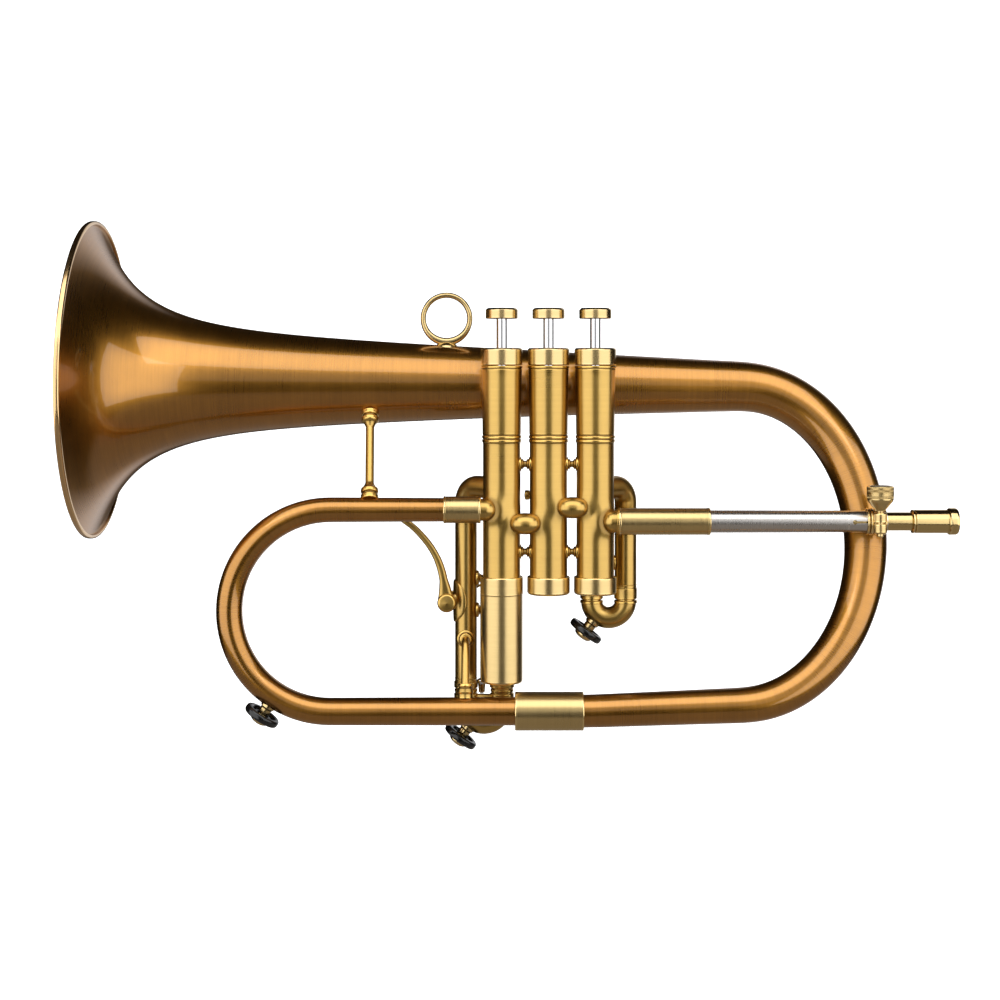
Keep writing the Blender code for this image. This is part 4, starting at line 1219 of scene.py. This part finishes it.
def make_slides():
    """Fixed legs with their end sleeves, and the three sliding bows."""
    high_port, low_port = -7.7 * MM, -27.0 * MM
    legs = (
        ("first_slide_leg_near", 1, FIRST_LEGS_X[0], FIRST_LEGS_Z, low_port, 6.8 * MM, 5.7, 5.6),
        ("first_slide_leg_far", 1, FIRST_LEGS_X[1], FIRST_LEGS_Z, high_port, 8.0 * MM, 5.7, 5.6),
        ("third_slide_leg_far", 3, THIRD_LEGS_X[0], THIRD_LEGS_Z, high_port, 8.0 * MM, 5.95, 3.2),
        ("third_slide_leg_near", 3, THIRD_LEGS_X[1], THIRD_LEGS_Z, low_port, 6.8 * MM, 6.15, 6.5),
    )
    for name, number, x, bottom, port, bend, sleeve, length in legs:
        leg = slide_leg(number, x, bottom, port, bend)
        end = turned(collar(sleeve, 0.0, length), (x, SLIDE_Y, bottom), ALONG_Z, sides=72)
        line = turned(collar(5.62, length + 1.2, length + 1.8), (x, SLIDE_Y, bottom), sides=72)
        piece(name + "_tube", [leg, end, line], "antique", stands_for=[name])
    down = -ALONG_Z
    first, second = (np.array([x, SLIDE_Y, FIRST_LEGS_Z]) for x in FIRST_LEGS_X)
    bow = slide_bow(first, second, down, 1.0 * MM, ALONG_Y, 28.0 * MM)
    piece("first_slide_crook", bow, "antique", "first_slide", ["first_slide_bow"])
    first, second = (np.array([x, SLIDE_Y, THIRD_LEGS_Z]) for x in THIRD_LEGS_X)
    bow = slide_bow(first, second, down, 9.0 * MM, ALONG_Y, 44.0 * MM)
    bow += [turned(collar(5.95, 2.9, 5.0), centre, down, sides=72) for centre in (first, second)]
    bridge_z = -113.3 * MM
    bridge = np.array([(-37.0 * MM, SLIDE_Y, bridge_z), (-26.6 * MM, SLIDE_Y, bridge_z)])
    bow.append(tube(spaced(bridge, MM), 1.7 * MM, ALONG_Y, 32))
    piece("third_slide_crook", bow, "antique", "third_slide", ["third_slide_bow"])
    axis, end, heights = second_slide_frame()
    first, second = (np.array([0.0, 0.0, height]) + axis * end for height in heights)
    bow = slide_bow(first, second, axis, 2.0 * MM, np.cross(axis, ALONG_Z), 19.0 * MM)
    crown = axis * (end + 2.0 * MM + 6.4 * MM) - ALONG_Z * 14.0 * MM
    knob = outline((0, 3.6), (1.2, 3.6), (1.2, 8.0, 0.5), (2.5, 8.8, 0.5), (2.5, 11.0, 0.6), (0, 11.3))
    bow.append(turned(knob, crown, -ALONG_X, sides=48))
    piece("second_slide_crook", bow, "antique", "second_slide", ["second_slide_bow"])


def make_slide_stays():
    """Small turned stays that hold each pair of fixed legs apart."""
    end = [(0, 0), (3.7, 0, 0.3), (3.7, 1.3, 0.4), (2.3, 1.8, 0.4), (1.5, 3.0, 0.8)]

    def bone(first, second):
        """Turned stay between two points, a flange at each end drawn in to a thin waist."""
        half = np.linalg.norm(second - first) / 2 / MM
        side = [(corner[0], half - corner[1], *corner[2:]) for corner in end]
        mirrored = [(corner[0], -corner[1], *corner[2:]) for corner in side[::-1]]
        return turned(outline(*(side + mirrored)), (first + second) / 2, unit(second - first), sides=48)

    wall = 5.0 * MM
    first = [np.array([x, SLIDE_Y, -46.0 * MM]) for x in (FIRST_LEGS_X[0] + wall, FIRST_LEGS_X[1] - wall)]
    piece("first_leg_stay", [bone(*first)], "antique")
    for name, height in (("upper", -53.5 * MM), ("lower", -69.5 * MM)):
        walls_x = (THIRD_LEGS_X[0] + wall, THIRD_LEGS_X[1] - wall)
        ends = [np.array([x, SLIDE_Y - 1.0 * MM, height]) for x in walls_x]
        piece(f"third_leg_stay_{name}", [bone(*ends)], "antique")


# Water keys


def water_key(place, body_parent, ring_body):
    """Nozzle, domed cap and the loose ring that is pushed to open it."""
    outward = -unit(joint_named(f"{place}_water_key_push")["axis"])
    ring = middle(f"water_key_ring_{place}")
    foot = ring - outward * 5.05 * MM
    nozzle = outline(
        (0, -1.6),
        (3.6, -1.6, 0.2),
        (3.6, 0.3, 0.4),
        (2.9, 0.8, 0.3),
        (2.9, 3.3, 0.2),
        (2.1, 3.6, 0.1),
        (2.1, 6.4),
        (4.2, 6.5, 0.2),
        (4.7, 6.9, 0.3),
        (4.7, 7.7, 0.3),
        (4.2, 8.4, 0.5),
        (2.8, 9.1, 0.6),
        (0, 9.4),
    )
    stem = turned(nozzle, foot, outward, sides=64, step=0.3 * MM)
    piece(f"water_key_nozzle_{place}", [stem], "pale", body_parent, [f"water_key_body_{place}"])
    rim = ring_band(ring, outward, 7.3 * MM, 1.7 * MM, 1.85 * MM, power=2.8, sides=96)
    hub = turned(collar(4.6, -0.8, 0.8, 0.3), ring, outward, sides=48, step=0.3 * MM)
    first, second = across(outward)
    spokes = []
    for i in range(4):
        angle = math.pi / 4 + i * math.pi / 2
        ray = math.cos(angle) * first + math.sin(angle) * second
        path = np.linspace(ring + ray * 4.0 * MM, ring + ray * 7.0 * MM, 8)
        spokes.append(section_sweep(path, outward, 0.9 * MM, 0.6 * MM, power=3.0, sides=24))
    piece(f"water_key_wheel_{place}", [rim, hub, *spokes], "black", ring_body, [f"water_key_ring_{place}"])


def make_water_keys():
    """One on the front bow and one on each of the first and third slides."""
    water_key("front", "horn", "front_water_key")
    water_key("first", "first_slide", "first_water_key")
    water_key("third", "third_slide", "third_water_key")


# Trigger


def make_trigger():
    """Saddle on the fixed leg, curved lever on its pivot, and the link down to the slide."""
    pivot = np.array(joint_named("trigger_squeeze")["pos_m"], float)
    make_saddle(pivot)
    make_lever(pivot)
    make_link()


def make_saddle(pivot):
    """Leaf-shaped plate wrapped on the leg, with the pivot's barrel standing on it.

    The plate's outline is an ellipse in height and angle; its section is a flat superellipse.
    """
    leg_x = THIRD_LEGS_X[0]
    rise = np.linspace(-1.0, 1.0, 80)
    turn = np.linspace(0.0, math.tau, 64, endpoint=False)
    opening = np.sqrt(np.clip(1.0 - rise**2, 0.0, 1.0))
    swing = math.radians(178) - math.radians(98) * opening[:, None] * np.cos(turn)
    wall = 1.05 * MM * np.sign(np.sin(turn)) * np.abs(np.sin(turn)) ** 0.5
    thick = LEG_RADIUS + wall * opening[:, None] ** 0.3
    height = np.broadcast_to(pivot[2] + 10.6 * MM * rise[:, None], swing.shape)
    grid = np.stack([leg_x + thick * np.cos(swing), SLIDE_Y + thick * np.sin(swing), height], axis=-1)
    lay = np.stack([height, thick * np.cos(swing), thick * np.sin(swing)], axis=-1)
    wear = np.abs(np.cos(turn))[None, :] ** 12 * 0.5
    plate = surface(grid, lay, wear)
    barrel = turned(collar(4.0, 0.0, 11.0, 0.4), (pivot[0], 11.3 * MM, pivot[2]), ALONG_Y, sides=64)
    lug = np.array([(pivot[0], SLIDE_Y, pivot[2]), (leg_x - 4.6 * MM, SLIDE_Y, pivot[2])])
    lug = spaced(lug, 0.5 * MM)
    lug_width = np.linspace(3.2, 4.7, len(lug)) * MM
    web = section_sweep(lug, ALONG_Y, lug_width, 4.6 * MM, power=3.0, sides=40)
    piece("trigger_yoke", [plate, barrel, web], "antique", stands_for=["trigger_saddle"])


def make_lever(pivot):
    """Thin curved blade that widens into its boss, a domed screw, and the slotted arm behind."""
    tip = np.array([-71.4 * MM, LEVER_Y, -22.6 * MM])
    root = np.array([pivot[0] - 0.3 * MM, LEVER_Y, pivot[2] + 1.5 * MM])
    share = np.linspace(0.0, 1.0, 90)
    bow = 5.4 * MM * np.sin(math.pi * share**1.08)
    side = np.array([0.87, 0.0, 0.49])
    path = tip + (root - tip) * share[:, None] + side * bow[:, None]
    path[:, 0] -= 1.6 * MM * np.exp(-((share / 0.10) ** 2))
    widths = np.array((0.6, 1.5, 1.75, 2.1, 3.3, 4.2)) * MM
    width = np.interp(share, (0.0, 0.03, 0.5, 0.8, 0.93, 1.0), widths)
    depth = np.interp(share, (0.0, 0.05, 0.8, 1.0), np.array((0.8, 1.7, 2.0, 2.0)) * MM)
    blade = section_sweep(path, ALONG_Y, width, depth, power=3.0, sides=48)
    boss = turned(collar(4.5, -1.9, 1.9, 0.5), (pivot[0], LEVER_Y, pivot[2]), ALONG_Y, sides=64)
    dome = outline((0, 1.2), (4.65, 1.2, 0.2), (4.65, 2.2, 0.5), (3.9, 2.9, 0.8), (0, 3.4))
    head = turned(dome, (pivot[0], LEVER_Y - 0.2 * MM, pivot[2]), -ALONG_Y, sides=72, step=0.3 * MM)
    shaft = outline((0, 0), (1.95, 0), (1.95, 16.2, 0.3), (0, 16.2))
    shaft = turned(shaft, (pivot[0], LEVER_Y, pivot[2]), ALONG_Y, 40)
    pin = np.array([-32.9 * MM, pivot[1], LINK_PIN_Z])
    toward = unit((pin - pivot) * (1, 0, 1))
    reach = np.linalg.norm((pin - pivot) * (1, 0, 1))
    root = np.array([pivot[0], ARM_Y, pivot[2]])
    start = root - toward * 2.6 * MM
    end = root + toward * (reach + 2.9 * MM)
    line = spaced(np.array([start, end]), 0.5 * MM)
    station = np.linspace(0.0, 1.0, len(line))
    plump = 2.35 * MM * np.clip(1 - (2 * station - 1) ** 10, 0.05, 1) ** 0.5
    arm = section_sweep(line, ALONG_Y, plump, 1.1 * MM, power=3.0, sides=40)
    parts = [blade, boss, head, shaft, arm]
    lever = piece("trigger_blade", parts, "antique", "trigger", ["trigger_lever"])
    slot = spaced(np.array([end - toward * 6.6 * MM, end - toward * 1.4 * MM]), 0.4 * MM)
    carve(lever, section_sweep(slot, ALONG_Y, 1.25 * MM, 3.0 * MM, power=6.0, sides=24))


def make_link():
    """Wire from the lever's slot to the slide's bridge, with a turned end at the bottom."""
    x = middle("trigger_link")[0]
    path = np.array(
        [
            (x, SLIDE_Y, -111.4 * MM),
            (x, SLIDE_Y + 0.8 * MM, -108.6 * MM),
            (x, 20.0 * MM, -103.8 * MM),
            (x, 20.0 * MM, -58.0 * MM),
            (x, 20.6 * MM, -56.2 * MM),
            (x, 22.0 * MM, LINK_PIN_Z),
            (x, 27.2 * MM, LINK_PIN_Z),
        ]
    )
    wire = tube(eased(path, 2.5 * MM), 0.85 * MM, ALONG_X, 24)
    knob = [(0, -6.4), (1.5, -6.4, 0.3), (1.9, -2.0, 0.5), (2.4, -0.9, 0.3), (2.4, 0.0, 0.3)]
    knob = outline(*knob, (1.3, 0.5, 0.2), (0, 0.5))
    end = turned(knob, (x, SLIDE_Y, -104.4 * MM), ALONG_Z, sides=48, step=0.3 * MM)
    piece("trigger_wire", [wire, end], "steel", "third_slide", ["trigger_link"])


# Mouthpipe


def make_mouthpipe():
    """Brass sleeve, and the nickel pipe that tapers to its split end."""
    start, end = low("mouthpipe_sleeve")[0], high("mouthpipe_sleeve")[0]
    length = (end - start) / MM
    profile = outline(
        (5.2, 0.0),
        (6.3, 0.0, 0.15),
        (6.7, 0.3, 0.12),
        (6.7, 1.1, 0.12),
        (6.5, 1.35, 0.1),
        (6.5, length - 1.5, 0.2),
        (6.62, length - 1.1, 0.1),
        (6.62, length - 0.3, 0.15),
        (6.35, length, 0.1),
        (5.2, length),
        closed=True,
    )
    place = (start, TUBE_PLANE_Y, MOUTHPIPE_Z)
    piece("mouthpipe_ferrule", [turned(profile, place, ALONG_X)], "sleeve", stands_for=["mouthpipe_sleeve"])
    start, end = low("mouthpipe")[0], high("mouthpipe")[0]
    length = (end - start) / MM
    slit_x = 148.0 * MM
    split = (slit_x - start) / MM - 3.0
    profile = outline((4.85, 0), (5.5, 0), (5.45, 0.4 * length), (5.32, split), (4.85, split), closed=True)
    pipe = turned(profile, (start, TUBE_PLANE_Y, MOUTHPIPE_Z), ALONG_X)
    piece("mouthpipe_tube", [pipe], "nickel", stands_for=["mouthpipe"])
    profile = outline((4.85, split), (5.32, split), (5.3, length, 0.2), (4.85, length), closed=True)
    tip = turned(profile, (start, TUBE_PLANE_Y, MOUTHPIPE_Z), ALONG_X)
    obj = piece("mouthpipe_split_end", [tip], "nickel")
    slit = bar(
        (slit_x, TUBE_PLANE_Y - 9 * MM, MOUTHPIPE_Z - 0.55 * MM),
        (end + MM, TUBE_PLANE_Y, MOUTHPIPE_Z + 0.55 * MM),
    )
    hole_start = (slit_x, TUBE_PLANE_Y, MOUTHPIPE_Z)
    hole = turned(outline((0, 0), (1.1, 0), (1.1, 9), (0, 9)), hole_start, -ALONG_Y, sides=24, step=20 * MM)
    carve(obj, slit, hole)


def make_clamp():
    """Ribbed collar with two round ears, split between them, and the thumbscrew through the ears."""
    start, end = low("clamp_collar")[0] - 0.4 * MM, high("clamp_collar")[0]
    screw = middle("clamp_thumbscrew")
    length = (end - start) / MM
    profile = outline(
        (5.45, 0.0),
        (6.2, 0.0, 0.15),
        (6.5, 0.4, 0.2),
        (6.5, 0.9, 0.2),
        (6.0, 1.2, 0.1),
        (6.0, 1.5, 0.1),
        (6.6, 1.8, 0.3),
        (6.6, 2.7, 0.3),
        (6.0, 3.1, 0.15),
        (6.0, 3.4, 0.15),
        (6.3, 3.8, 0.2),
        (6.3, length - 1.6, 0.2),
        (6.6, length - 1.2, 0.3),
        (6.6, length - 0.3, 0.3),
        (5.45, length),
        closed=True,
    )
    ring = turned(profile, (start, TUBE_PLANE_Y, MOUTHPIPE_Z), ALONG_X)
    ear = outline(
        (1.85, 0.5), (3.2, 0.5, 0.15), (3.2, 4.4, 0.15), (2.7, 5.1, 0.2), (1.85, 5.1), closed=True
    )
    ears = []
    for direction in (ALONG_Z, -ALONG_Z):
        place = (screw[0], screw[1], MOUTHPIPE_Z)
        ears.append(turned(ear, place, direction, sides=64, step=0.3 * MM))
        line = np.array([(screw[0], screw[1] + 1.6 * MM, 0.0), (screw[0], TUBE_PLANE_Y - 4.4 * MM, 0.0)])
        line = line + ALONG_Z * MOUTHPIPE_Z + direction * 2.7 * MM
        ears.append(section_sweep(spaced(line, 0.5 * MM), ALONG_Z, 2.5 * MM, 2.0 * MM, power=4.0, sides=40))
    obj = piece("clamp_band", [ring, *ears], "satin", stands_for=["clamp_collar"])
    gap = 0.5 * MM
    lowest = (start - MM, screw[1] - 4 * MM, MOUTHPIPE_Z - gap)
    highest = (end + MM, TUBE_PLANE_Y, MOUTHPIPE_Z + gap)
    carve(obj, bar(lowest, highest))

    def knurl(angle, height):
        """Two crossing spirals of fine ridges on the grip, none elsewhere."""
        grip = 1 / (1 + np.exp((np.abs(height - 9.0 * MM) - 2.7 * MM) / (0.06 * MM)))
        first = np.sin(60 * angle + height / MM * 5.0)
        second = np.sin(60 * angle - height / MM * 5.0)
        return grip * MM * (0.2 * np.minimum(np.abs(first), np.abs(second)) - 0.14)

    base = -17.6 * MM
    head = outline(
        (0, 0),
        (2.5, 0, 0.2),
        (2.7, 0.8, 0.4),
        (5.9, 4.5, 0.5),
        (6.35, 5.5, 0.4),
        (6.35, 6.2, 0.1),
        (6.4, 6.3),
        (6.4, 11.7),
        (6.3, 11.8, 0.1),
        (5.7, 12.1, 0.25),
        (5.0, 12.1, 0.3),
        (4.6, 11.7, 0.3),
        (0, 11.6),
    )
    knob = turned(head, (screw[0], screw[1], base), sides=360, step=0.22 * MM, relief=knurl)
    shank = outline((0, -12.6), (1.2, -12.6, 0.2), (1.5, -12.1, 0.2), (1.5, 0.6), (0, 0.6))
    thread = turned(shank, (screw[0], screw[1], base), sides=48)
    piece("thumbscrew_knob", [knob, thread], "satin", "thumbscrew", ["clamp_thumbscrew"])


def make_receiver():
    """Polished sliding receiver: thin inner leg, step ring, barrel and a rounded end ring."""
    start = low("tuning_receiver")[0]
    end = (high("tuning_receiver")[0] - start) / MM
    profile = outline(
        (3.95, 0.0),
        (4.5, 0.0, 0.1),
        (4.5, end - 22.6, 0.1),
        (4.85, end - 22.3, 0.2),
        (5.75, end - 22.1, 0.2),
        (5.75, end - 21.4, 0.2),
        (5.35, end - 21.1, 0.1),
        (5.35, end - 20.9, 0.1),
        (5.7, end - 20.6, 0.2),
        (5.75, end - 5.0, 0.3),
        (6.1, end - 4.5, 0.2),
        (6.55, end - 4.1, 0.4),
        (6.55, end - 0.9, 0.6),
        (6.0, end, 0.3),
        (5.3, end, 0.3),
        (4.9, end - 0.5, 0.2),
        (4.45, end - 20.6),
        (3.95, end - 20.6),
        closed=True,
    )
    place = (start, TUBE_PLANE_Y, MOUTHPIPE_Z)
    tube_part = turned(profile, place, ALONG_X)
    piece("receiver_barrel", [tube_part], "mirror", "receiver", ["tuning_receiver"])


# Studio


def make_stage():
    """Pale sweep, soft lights at both sides, overhead and weakly in front, and a level camera."""
    scene = bpy.context.scene
    scene.view_settings.view_transform = "Standard"
    floor_z = -0.34
    front, back, half_width, rise = -0.80, 2.0, 3.2, 2.6
    bend = 0.8
    angle = np.linspace(0.0, math.pi / 2, 24)
    curve = np.stack([back - bend + bend * np.sin(angle), floor_z + bend - bend * np.cos(angle)], axis=1)
    line = np.concatenate([[(front, floor_z)], curve, [(back, rise)]])
    points = [(x, y, z) for x in (-half_width, half_width) for y, z in line]
    count = len(line)
    faces = [(i, i + 1, count + i + 1, count + i) for i in range(count - 1)]
    mesh = bpy.data.meshes.new("studio_sweep")
    mesh.from_pydata(points, [], faces)
    mesh.flip_normals()
    mesh.shade_smooth()
    sweep = bpy.data.objects.new("studio_sweep", mesh)
    scene.collection.objects.link(sweep)
    paper = Metal("studio_paper")
    grain = paper.noise(paper.place(), (60.0, 60.0, 60.0), 2.0)
    paper.finish(
        Base_Color=paper.blend(grain, (0.88, 0.88, 0.88), (0.92, 0.92, 0.92)),
        Roughness=0.9,
        Emission_Color=(1.0, 1.0, 1.0),
        Emission_Strength=0.9,
        Specular_IOR_Level=0.0,
    )
    mesh.materials.append(paper.material)
    sweep.visible_glossy = False
    for name, azimuth, elevation, width, height, radiance in (
        ("softbox_right", 52.0, 6.0, 1.85, 1.4, 1.8),
        ("softbox_left", -52.0, 6.0, 1.85, 1.4, 1.8),
        ("softbox_top", 0.0, 54.0, 2.2, 1.15, 2.3),
        ("softbox_fill", 0.0, 16.0, 0.8, 0.7, 0.45),
    ):
        soft_light(name, azimuth, elevation, width, height, radiance)
    make_world()
    camera_data = bpy.data.cameras.new("camera")
    camera_data.lens = 63.25
    camera_data.sensor_width = 36.0
    camera_data.shift_y = -0.13
    camera_data.clip_start = 0.01
    camera = bpy.data.objects.new("camera", camera_data)
    camera.location = (-23.8 * MM, -862.0 * MM, 50.3 * MM)
    camera.rotation_euler = (math.pi / 2, 0.0, 0.0)
    scene.collection.objects.link(camera)
    scene.camera = camera


def soft_light(name, azimuth, elevation, width, height, radiance, distance=1.35):
    """Rectangular light at a bearing round the horn; azimuth 0 is behind the camera.

    Its power is radiance * pi * area, so every size of light looks equally bright in the metal.
    """
    data = bpy.data.lights.new(name, "AREA")
    data.shape = "RECTANGLE"
    data.size = width
    data.size_y = height
    data.energy = radiance * math.pi * width * height
    light = bpy.data.objects.new(name, data)
    turn, lift = math.radians(azimuth), math.radians(elevation)
    away = Vector((math.sin(turn) * math.cos(lift), -math.cos(turn) * math.cos(lift), math.sin(lift)))
    light.location = away * distance
    light.rotation_euler = away.to_track_quat("Z", "Y").to_euler()
    light.visible_camera = False
    bpy.context.scene.collection.objects.link(light)


def make_world():
    """White to the camera. The metal sees a dim room, a pale table below it and a bright wall behind.

    The table fills every direction whose height is under a fixed sine. The wall fills the directions
    within a fixed angle of +Y that lean towards +X. A steep ramp joins each to the room.
    """
    world = bpy.data.worlds.new("studio")
    bpy.context.scene.world = world
    room = Shading(world)
    room.nodes.clear()
    direction = room.node("ShaderNodeTexCoord", {}, {})[0]
    side, depth, height = room.node("ShaderNodeSeparateXYZ", {}, {0: direction})
    table = ((-0.40 - height) * 14.0).clamped()
    wall = ((depth - 0.70) * 6.0).clamped() * ((side - 0.03) * 5.0).clamped()
    seen = room.blend(table, (0.012, 0.009, 0.006), (0.27, 0.24, 0.21))
    seen = room.blend(wall, seen, (0.85, 0.85, 0.87))
    in_metal = room.node("ShaderNodeBackground", {}, {"Color": seen, "Strength": 1.0})[0]
    to_camera = room.node("ShaderNodeBackground", {}, {"Color": (1.0, 1.0, 1.0)})[0]
    camera_ray = room.node("ShaderNodeLightPath", {}, {})[0]
    choice = room.node("ShaderNodeMixShader", {}, {0: camera_ray, 1: in_metal, 2: to_camera})[0]
    room.node("ShaderNodeOutputWorld", {}, {"Surface": choice})


# Operators


def mix_finishes():
    """Makes every material from the colours in the sidebar and files it under its finish."""
    colours = bpy.context.scene.flugelhorn_metals
    FINISHES.update(make_finishes(colours))
    HIDDEN["nickel"] = ringed_metal("turned_nickel", tuple(colours.nickel), 2400.0)
    HIDDEN["pale"] = ringed_metal("turned_guide", tuple(colours.pale), 1800.0)


class FLUGELHORN_OT_finishes(Operator):
    """Mixes every metal and the black moulding."""

    bl_idname = "flugelhorn.finishes"
    bl_label = "Metal Finishes"
    bl_options = {"REGISTER", "UNDO"}

    def execute(self, context):
        mix_finishes()
        return {"FINISHED"}


class FLUGELHORN_OT_bell(Operator):
    """Builds the flare and the wire rolled into its rim."""

    bl_idname = "flugelhorn.bell"
    bl_label = "Bell"
    bl_options = {"REGISTER", "UNDO"}

    def execute(self, context):
        make_bell()
        return {"FINISHED"}


class FLUGELHORN_OT_bell_bow(Operator):
    """Builds the big bow behind the valves."""

    bl_idname = "flugelhorn.bell_bow"
    bl_label = "Bell Bow"
    bl_options = {"REGISTER", "UNDO"}

    def execute(self, context):
        make_bell_bow()
        return {"FINISHED"}


class FLUGELHORN_OT_front_bow(Operator):
    """Builds the bow in front of the valves."""

    bl_idname = "flugelhorn.front_bow"
    bl_label = "Front Bow"
    bl_options = {"REGISTER", "UNDO"}

    def execute(self, context):
        make_front_bow()
        return {"FINISHED"}


class FLUGELHORN_OT_ferrules(Operator):
    """Builds the sleeves that join the bows."""

    bl_idname = "flugelhorn.ferrules"
    bl_label = "Ferrules"
    bl_options = {"REGISTER", "UNDO"}

    def execute(self, context):
        make_ferrules()
        return {"FINISHED"}


class FLUGELHORN_OT_finger_ring(Operator):
    """Builds the ring on top of the bell."""

    bl_idname = "flugelhorn.finger_ring"
    bl_label = "Finger Ring"
    bl_options = {"REGISTER", "UNDO"}

    def execute(self, context):
        make_finger_ring()
        return {"FINISHED"}


class FLUGELHORN_OT_stays(Operator):
    """Builds the struts between bell, bows and valves."""

    bl_idname = "flugelhorn.stays"
    bl_label = "Stays"
    bl_options = {"REGISTER", "UNDO"}

    def execute(self, context):
        make_stays()
        return {"FINISHED"}


class FLUGELHORN_OT_casings(Operator):
    """Builds the casings with their solder fillets."""

    bl_idname = "flugelhorn.casings"
    bl_label = "Valve Casings"
    bl_options = {"REGISTER", "UNDO"}

    def execute(self, context):
        make_casings()
        return {"FINISHED"}


class FLUGELHORN_OT_knuckles(Operator):
    """Builds the elbows into the casings and the links between them."""

    bl_idname = "flugelhorn.knuckles"
    bl_label = "Knuckles"
    bl_options = {"REGISTER", "UNDO"}

    def execute(self, context):
        make_knuckles()
        return {"FINISHED"}


class FLUGELHORN_OT_casing_stays(Operator):
    """Builds the dog-bone stays between the casings."""

    bl_idname = "flugelhorn.casing_stays"
    bl_label = "Casing Stays"
    bl_options = {"REGISTER", "UNDO"}

    def execute(self, context):
        make_casing_stays()
        return {"FINISHED"}


class FLUGELHORN_OT_caps(Operator):
    """Builds the top and bottom caps."""

    bl_idname = "flugelhorn.caps"
    bl_label = "Valve Caps"
    bl_options = {"REGISTER", "UNDO"}

    def execute(self, context):
        make_caps()
        return {"FINISHED"}


class FLUGELHORN_OT_valves(Operator):
    """Builds the stems, buttons and springs."""

    bl_idname = "flugelhorn.valves"
    bl_label = "Valves"
    bl_options = {"REGISTER", "UNDO"}

    def execute(self, context):
        make_valves()
        return {"FINISHED"}


class FLUGELHORN_OT_slides(Operator):
    """Builds the fixed legs and the three sliding bows."""

    bl_idname = "flugelhorn.slides"
    bl_label = "Slides"
    bl_options = {"REGISTER", "UNDO"}

    def execute(self, context):
        make_slides()
        return {"FINISHED"}


class FLUGELHORN_OT_slide_stays(Operator):
    """Builds the stays between the fixed legs."""

    bl_idname = "flugelhorn.slide_stays"
    bl_label = "Slide Stays"
    bl_options = {"REGISTER", "UNDO"}

    def execute(self, context):
        make_slide_stays()
        return {"FINISHED"}


class FLUGELHORN_OT_water_keys(Operator):
    """Builds the three nozzles and their loose rings."""

    bl_idname = "flugelhorn.water_keys"
    bl_label = "Water Keys"
    bl_options = {"REGISTER", "UNDO"}

    def execute(self, context):
        make_water_keys()
        return {"FINISHED"}


class FLUGELHORN_OT_trigger(Operator):
    """Builds the saddle, the lever and the link."""

    bl_idname = "flugelhorn.trigger"
    bl_label = "Trigger"
    bl_options = {"REGISTER", "UNDO"}

    def execute(self, context):
        make_trigger()
        return {"FINISHED"}


class FLUGELHORN_OT_mouthpipe(Operator):
    """Builds the sleeve and the pipe with its split end."""

    bl_idname = "flugelhorn.mouthpipe"
    bl_label = "Mouthpipe"
    bl_options = {"REGISTER", "UNDO"}

    def execute(self, context):
        make_mouthpipe()
        return {"FINISHED"}


class FLUGELHORN_OT_clamp(Operator):
    """Builds the clamp and its thumbscrew."""

    bl_idname = "flugelhorn.clamp"
    bl_label = "Clamp"
    bl_options = {"REGISTER", "UNDO"}

    def execute(self, context):
        make_clamp()
        return {"FINISHED"}


class FLUGELHORN_OT_receiver(Operator):
    """Builds the sliding receiver."""

    bl_idname = "flugelhorn.receiver"
    bl_label = "Receiver"
    bl_options = {"REGISTER", "UNDO"}

    def execute(self, context):
        make_receiver()
        return {"FINISHED"}


class FLUGELHORN_OT_stage(Operator):
    """Builds the sweep, the lights, the world and the camera."""

    bl_idname = "flugelhorn.stage"
    bl_label = "Studio"
    bl_options = {"REGISTER", "UNDO"}

    def execute(self, context):
        make_stage()
        return {"FINISHED"}


OPERATORS = (
    FLUGELHORN_OT_finishes,
    FLUGELHORN_OT_bell,
    FLUGELHORN_OT_bell_bow,
    FLUGELHORN_OT_front_bow,
    FLUGELHORN_OT_ferrules,
    FLUGELHORN_OT_finger_ring,
    FLUGELHORN_OT_stays,
    FLUGELHORN_OT_casings,
    FLUGELHORN_OT_knuckles,
    FLUGELHORN_OT_casing_stays,
    FLUGELHORN_OT_caps,
    FLUGELHORN_OT_valves,
    FLUGELHORN_OT_slides,
    FLUGELHORN_OT_slide_stays,
    FLUGELHORN_OT_water_keys,
    FLUGELHORN_OT_trigger,
    FLUGELHORN_OT_mouthpipe,
    FLUGELHORN_OT_clamp,
    FLUGELHORN_OT_receiver,
    FLUGELHORN_OT_stage,
)


class FLUGELHORN_PT_panel(Panel):
    """Lists every building step in the sidebar."""

    bl_label = "Flugelhorn"
    bl_idname = "FLUGELHORN_PT_panel"
    bl_space_type = "VIEW_3D"
    bl_region_type = "UI"
    bl_category = "Flugelhorn"

    def draw(self, context):
        for operator in OPERATORS:
            self.layout.operator(operator.bl_idname)


GROUPS = {"flugelhorn_bell": BellShape, "flugelhorn_bows": BowShape, "flugelhorn_metals": MetalColours}


def register():
    for name, group in GROUPS.items():
        bpy.utils.register_class(group)
        setattr(bpy.types.Scene, name, PointerProperty(type=group))
    for item in [*OPERATORS, FLUGELHORN_PT_panel]:
        bpy.utils.register_class(item)


def unregister():
    for item in [FLUGELHORN_PT_panel, *reversed(OPERATORS)]:
        bpy.utils.unregister_class(item)
    for name, group in GROUPS.items():
        delattr(bpy.types.Scene, name)
        bpy.utils.unregister_class(group)


def main():
    register()
    for operator in OPERATORS:
        family, name = operator.bl_idname.split(".")
        getattr(getattr(bpy.ops, family), name)()


if __name__ == "__main__":
    main()
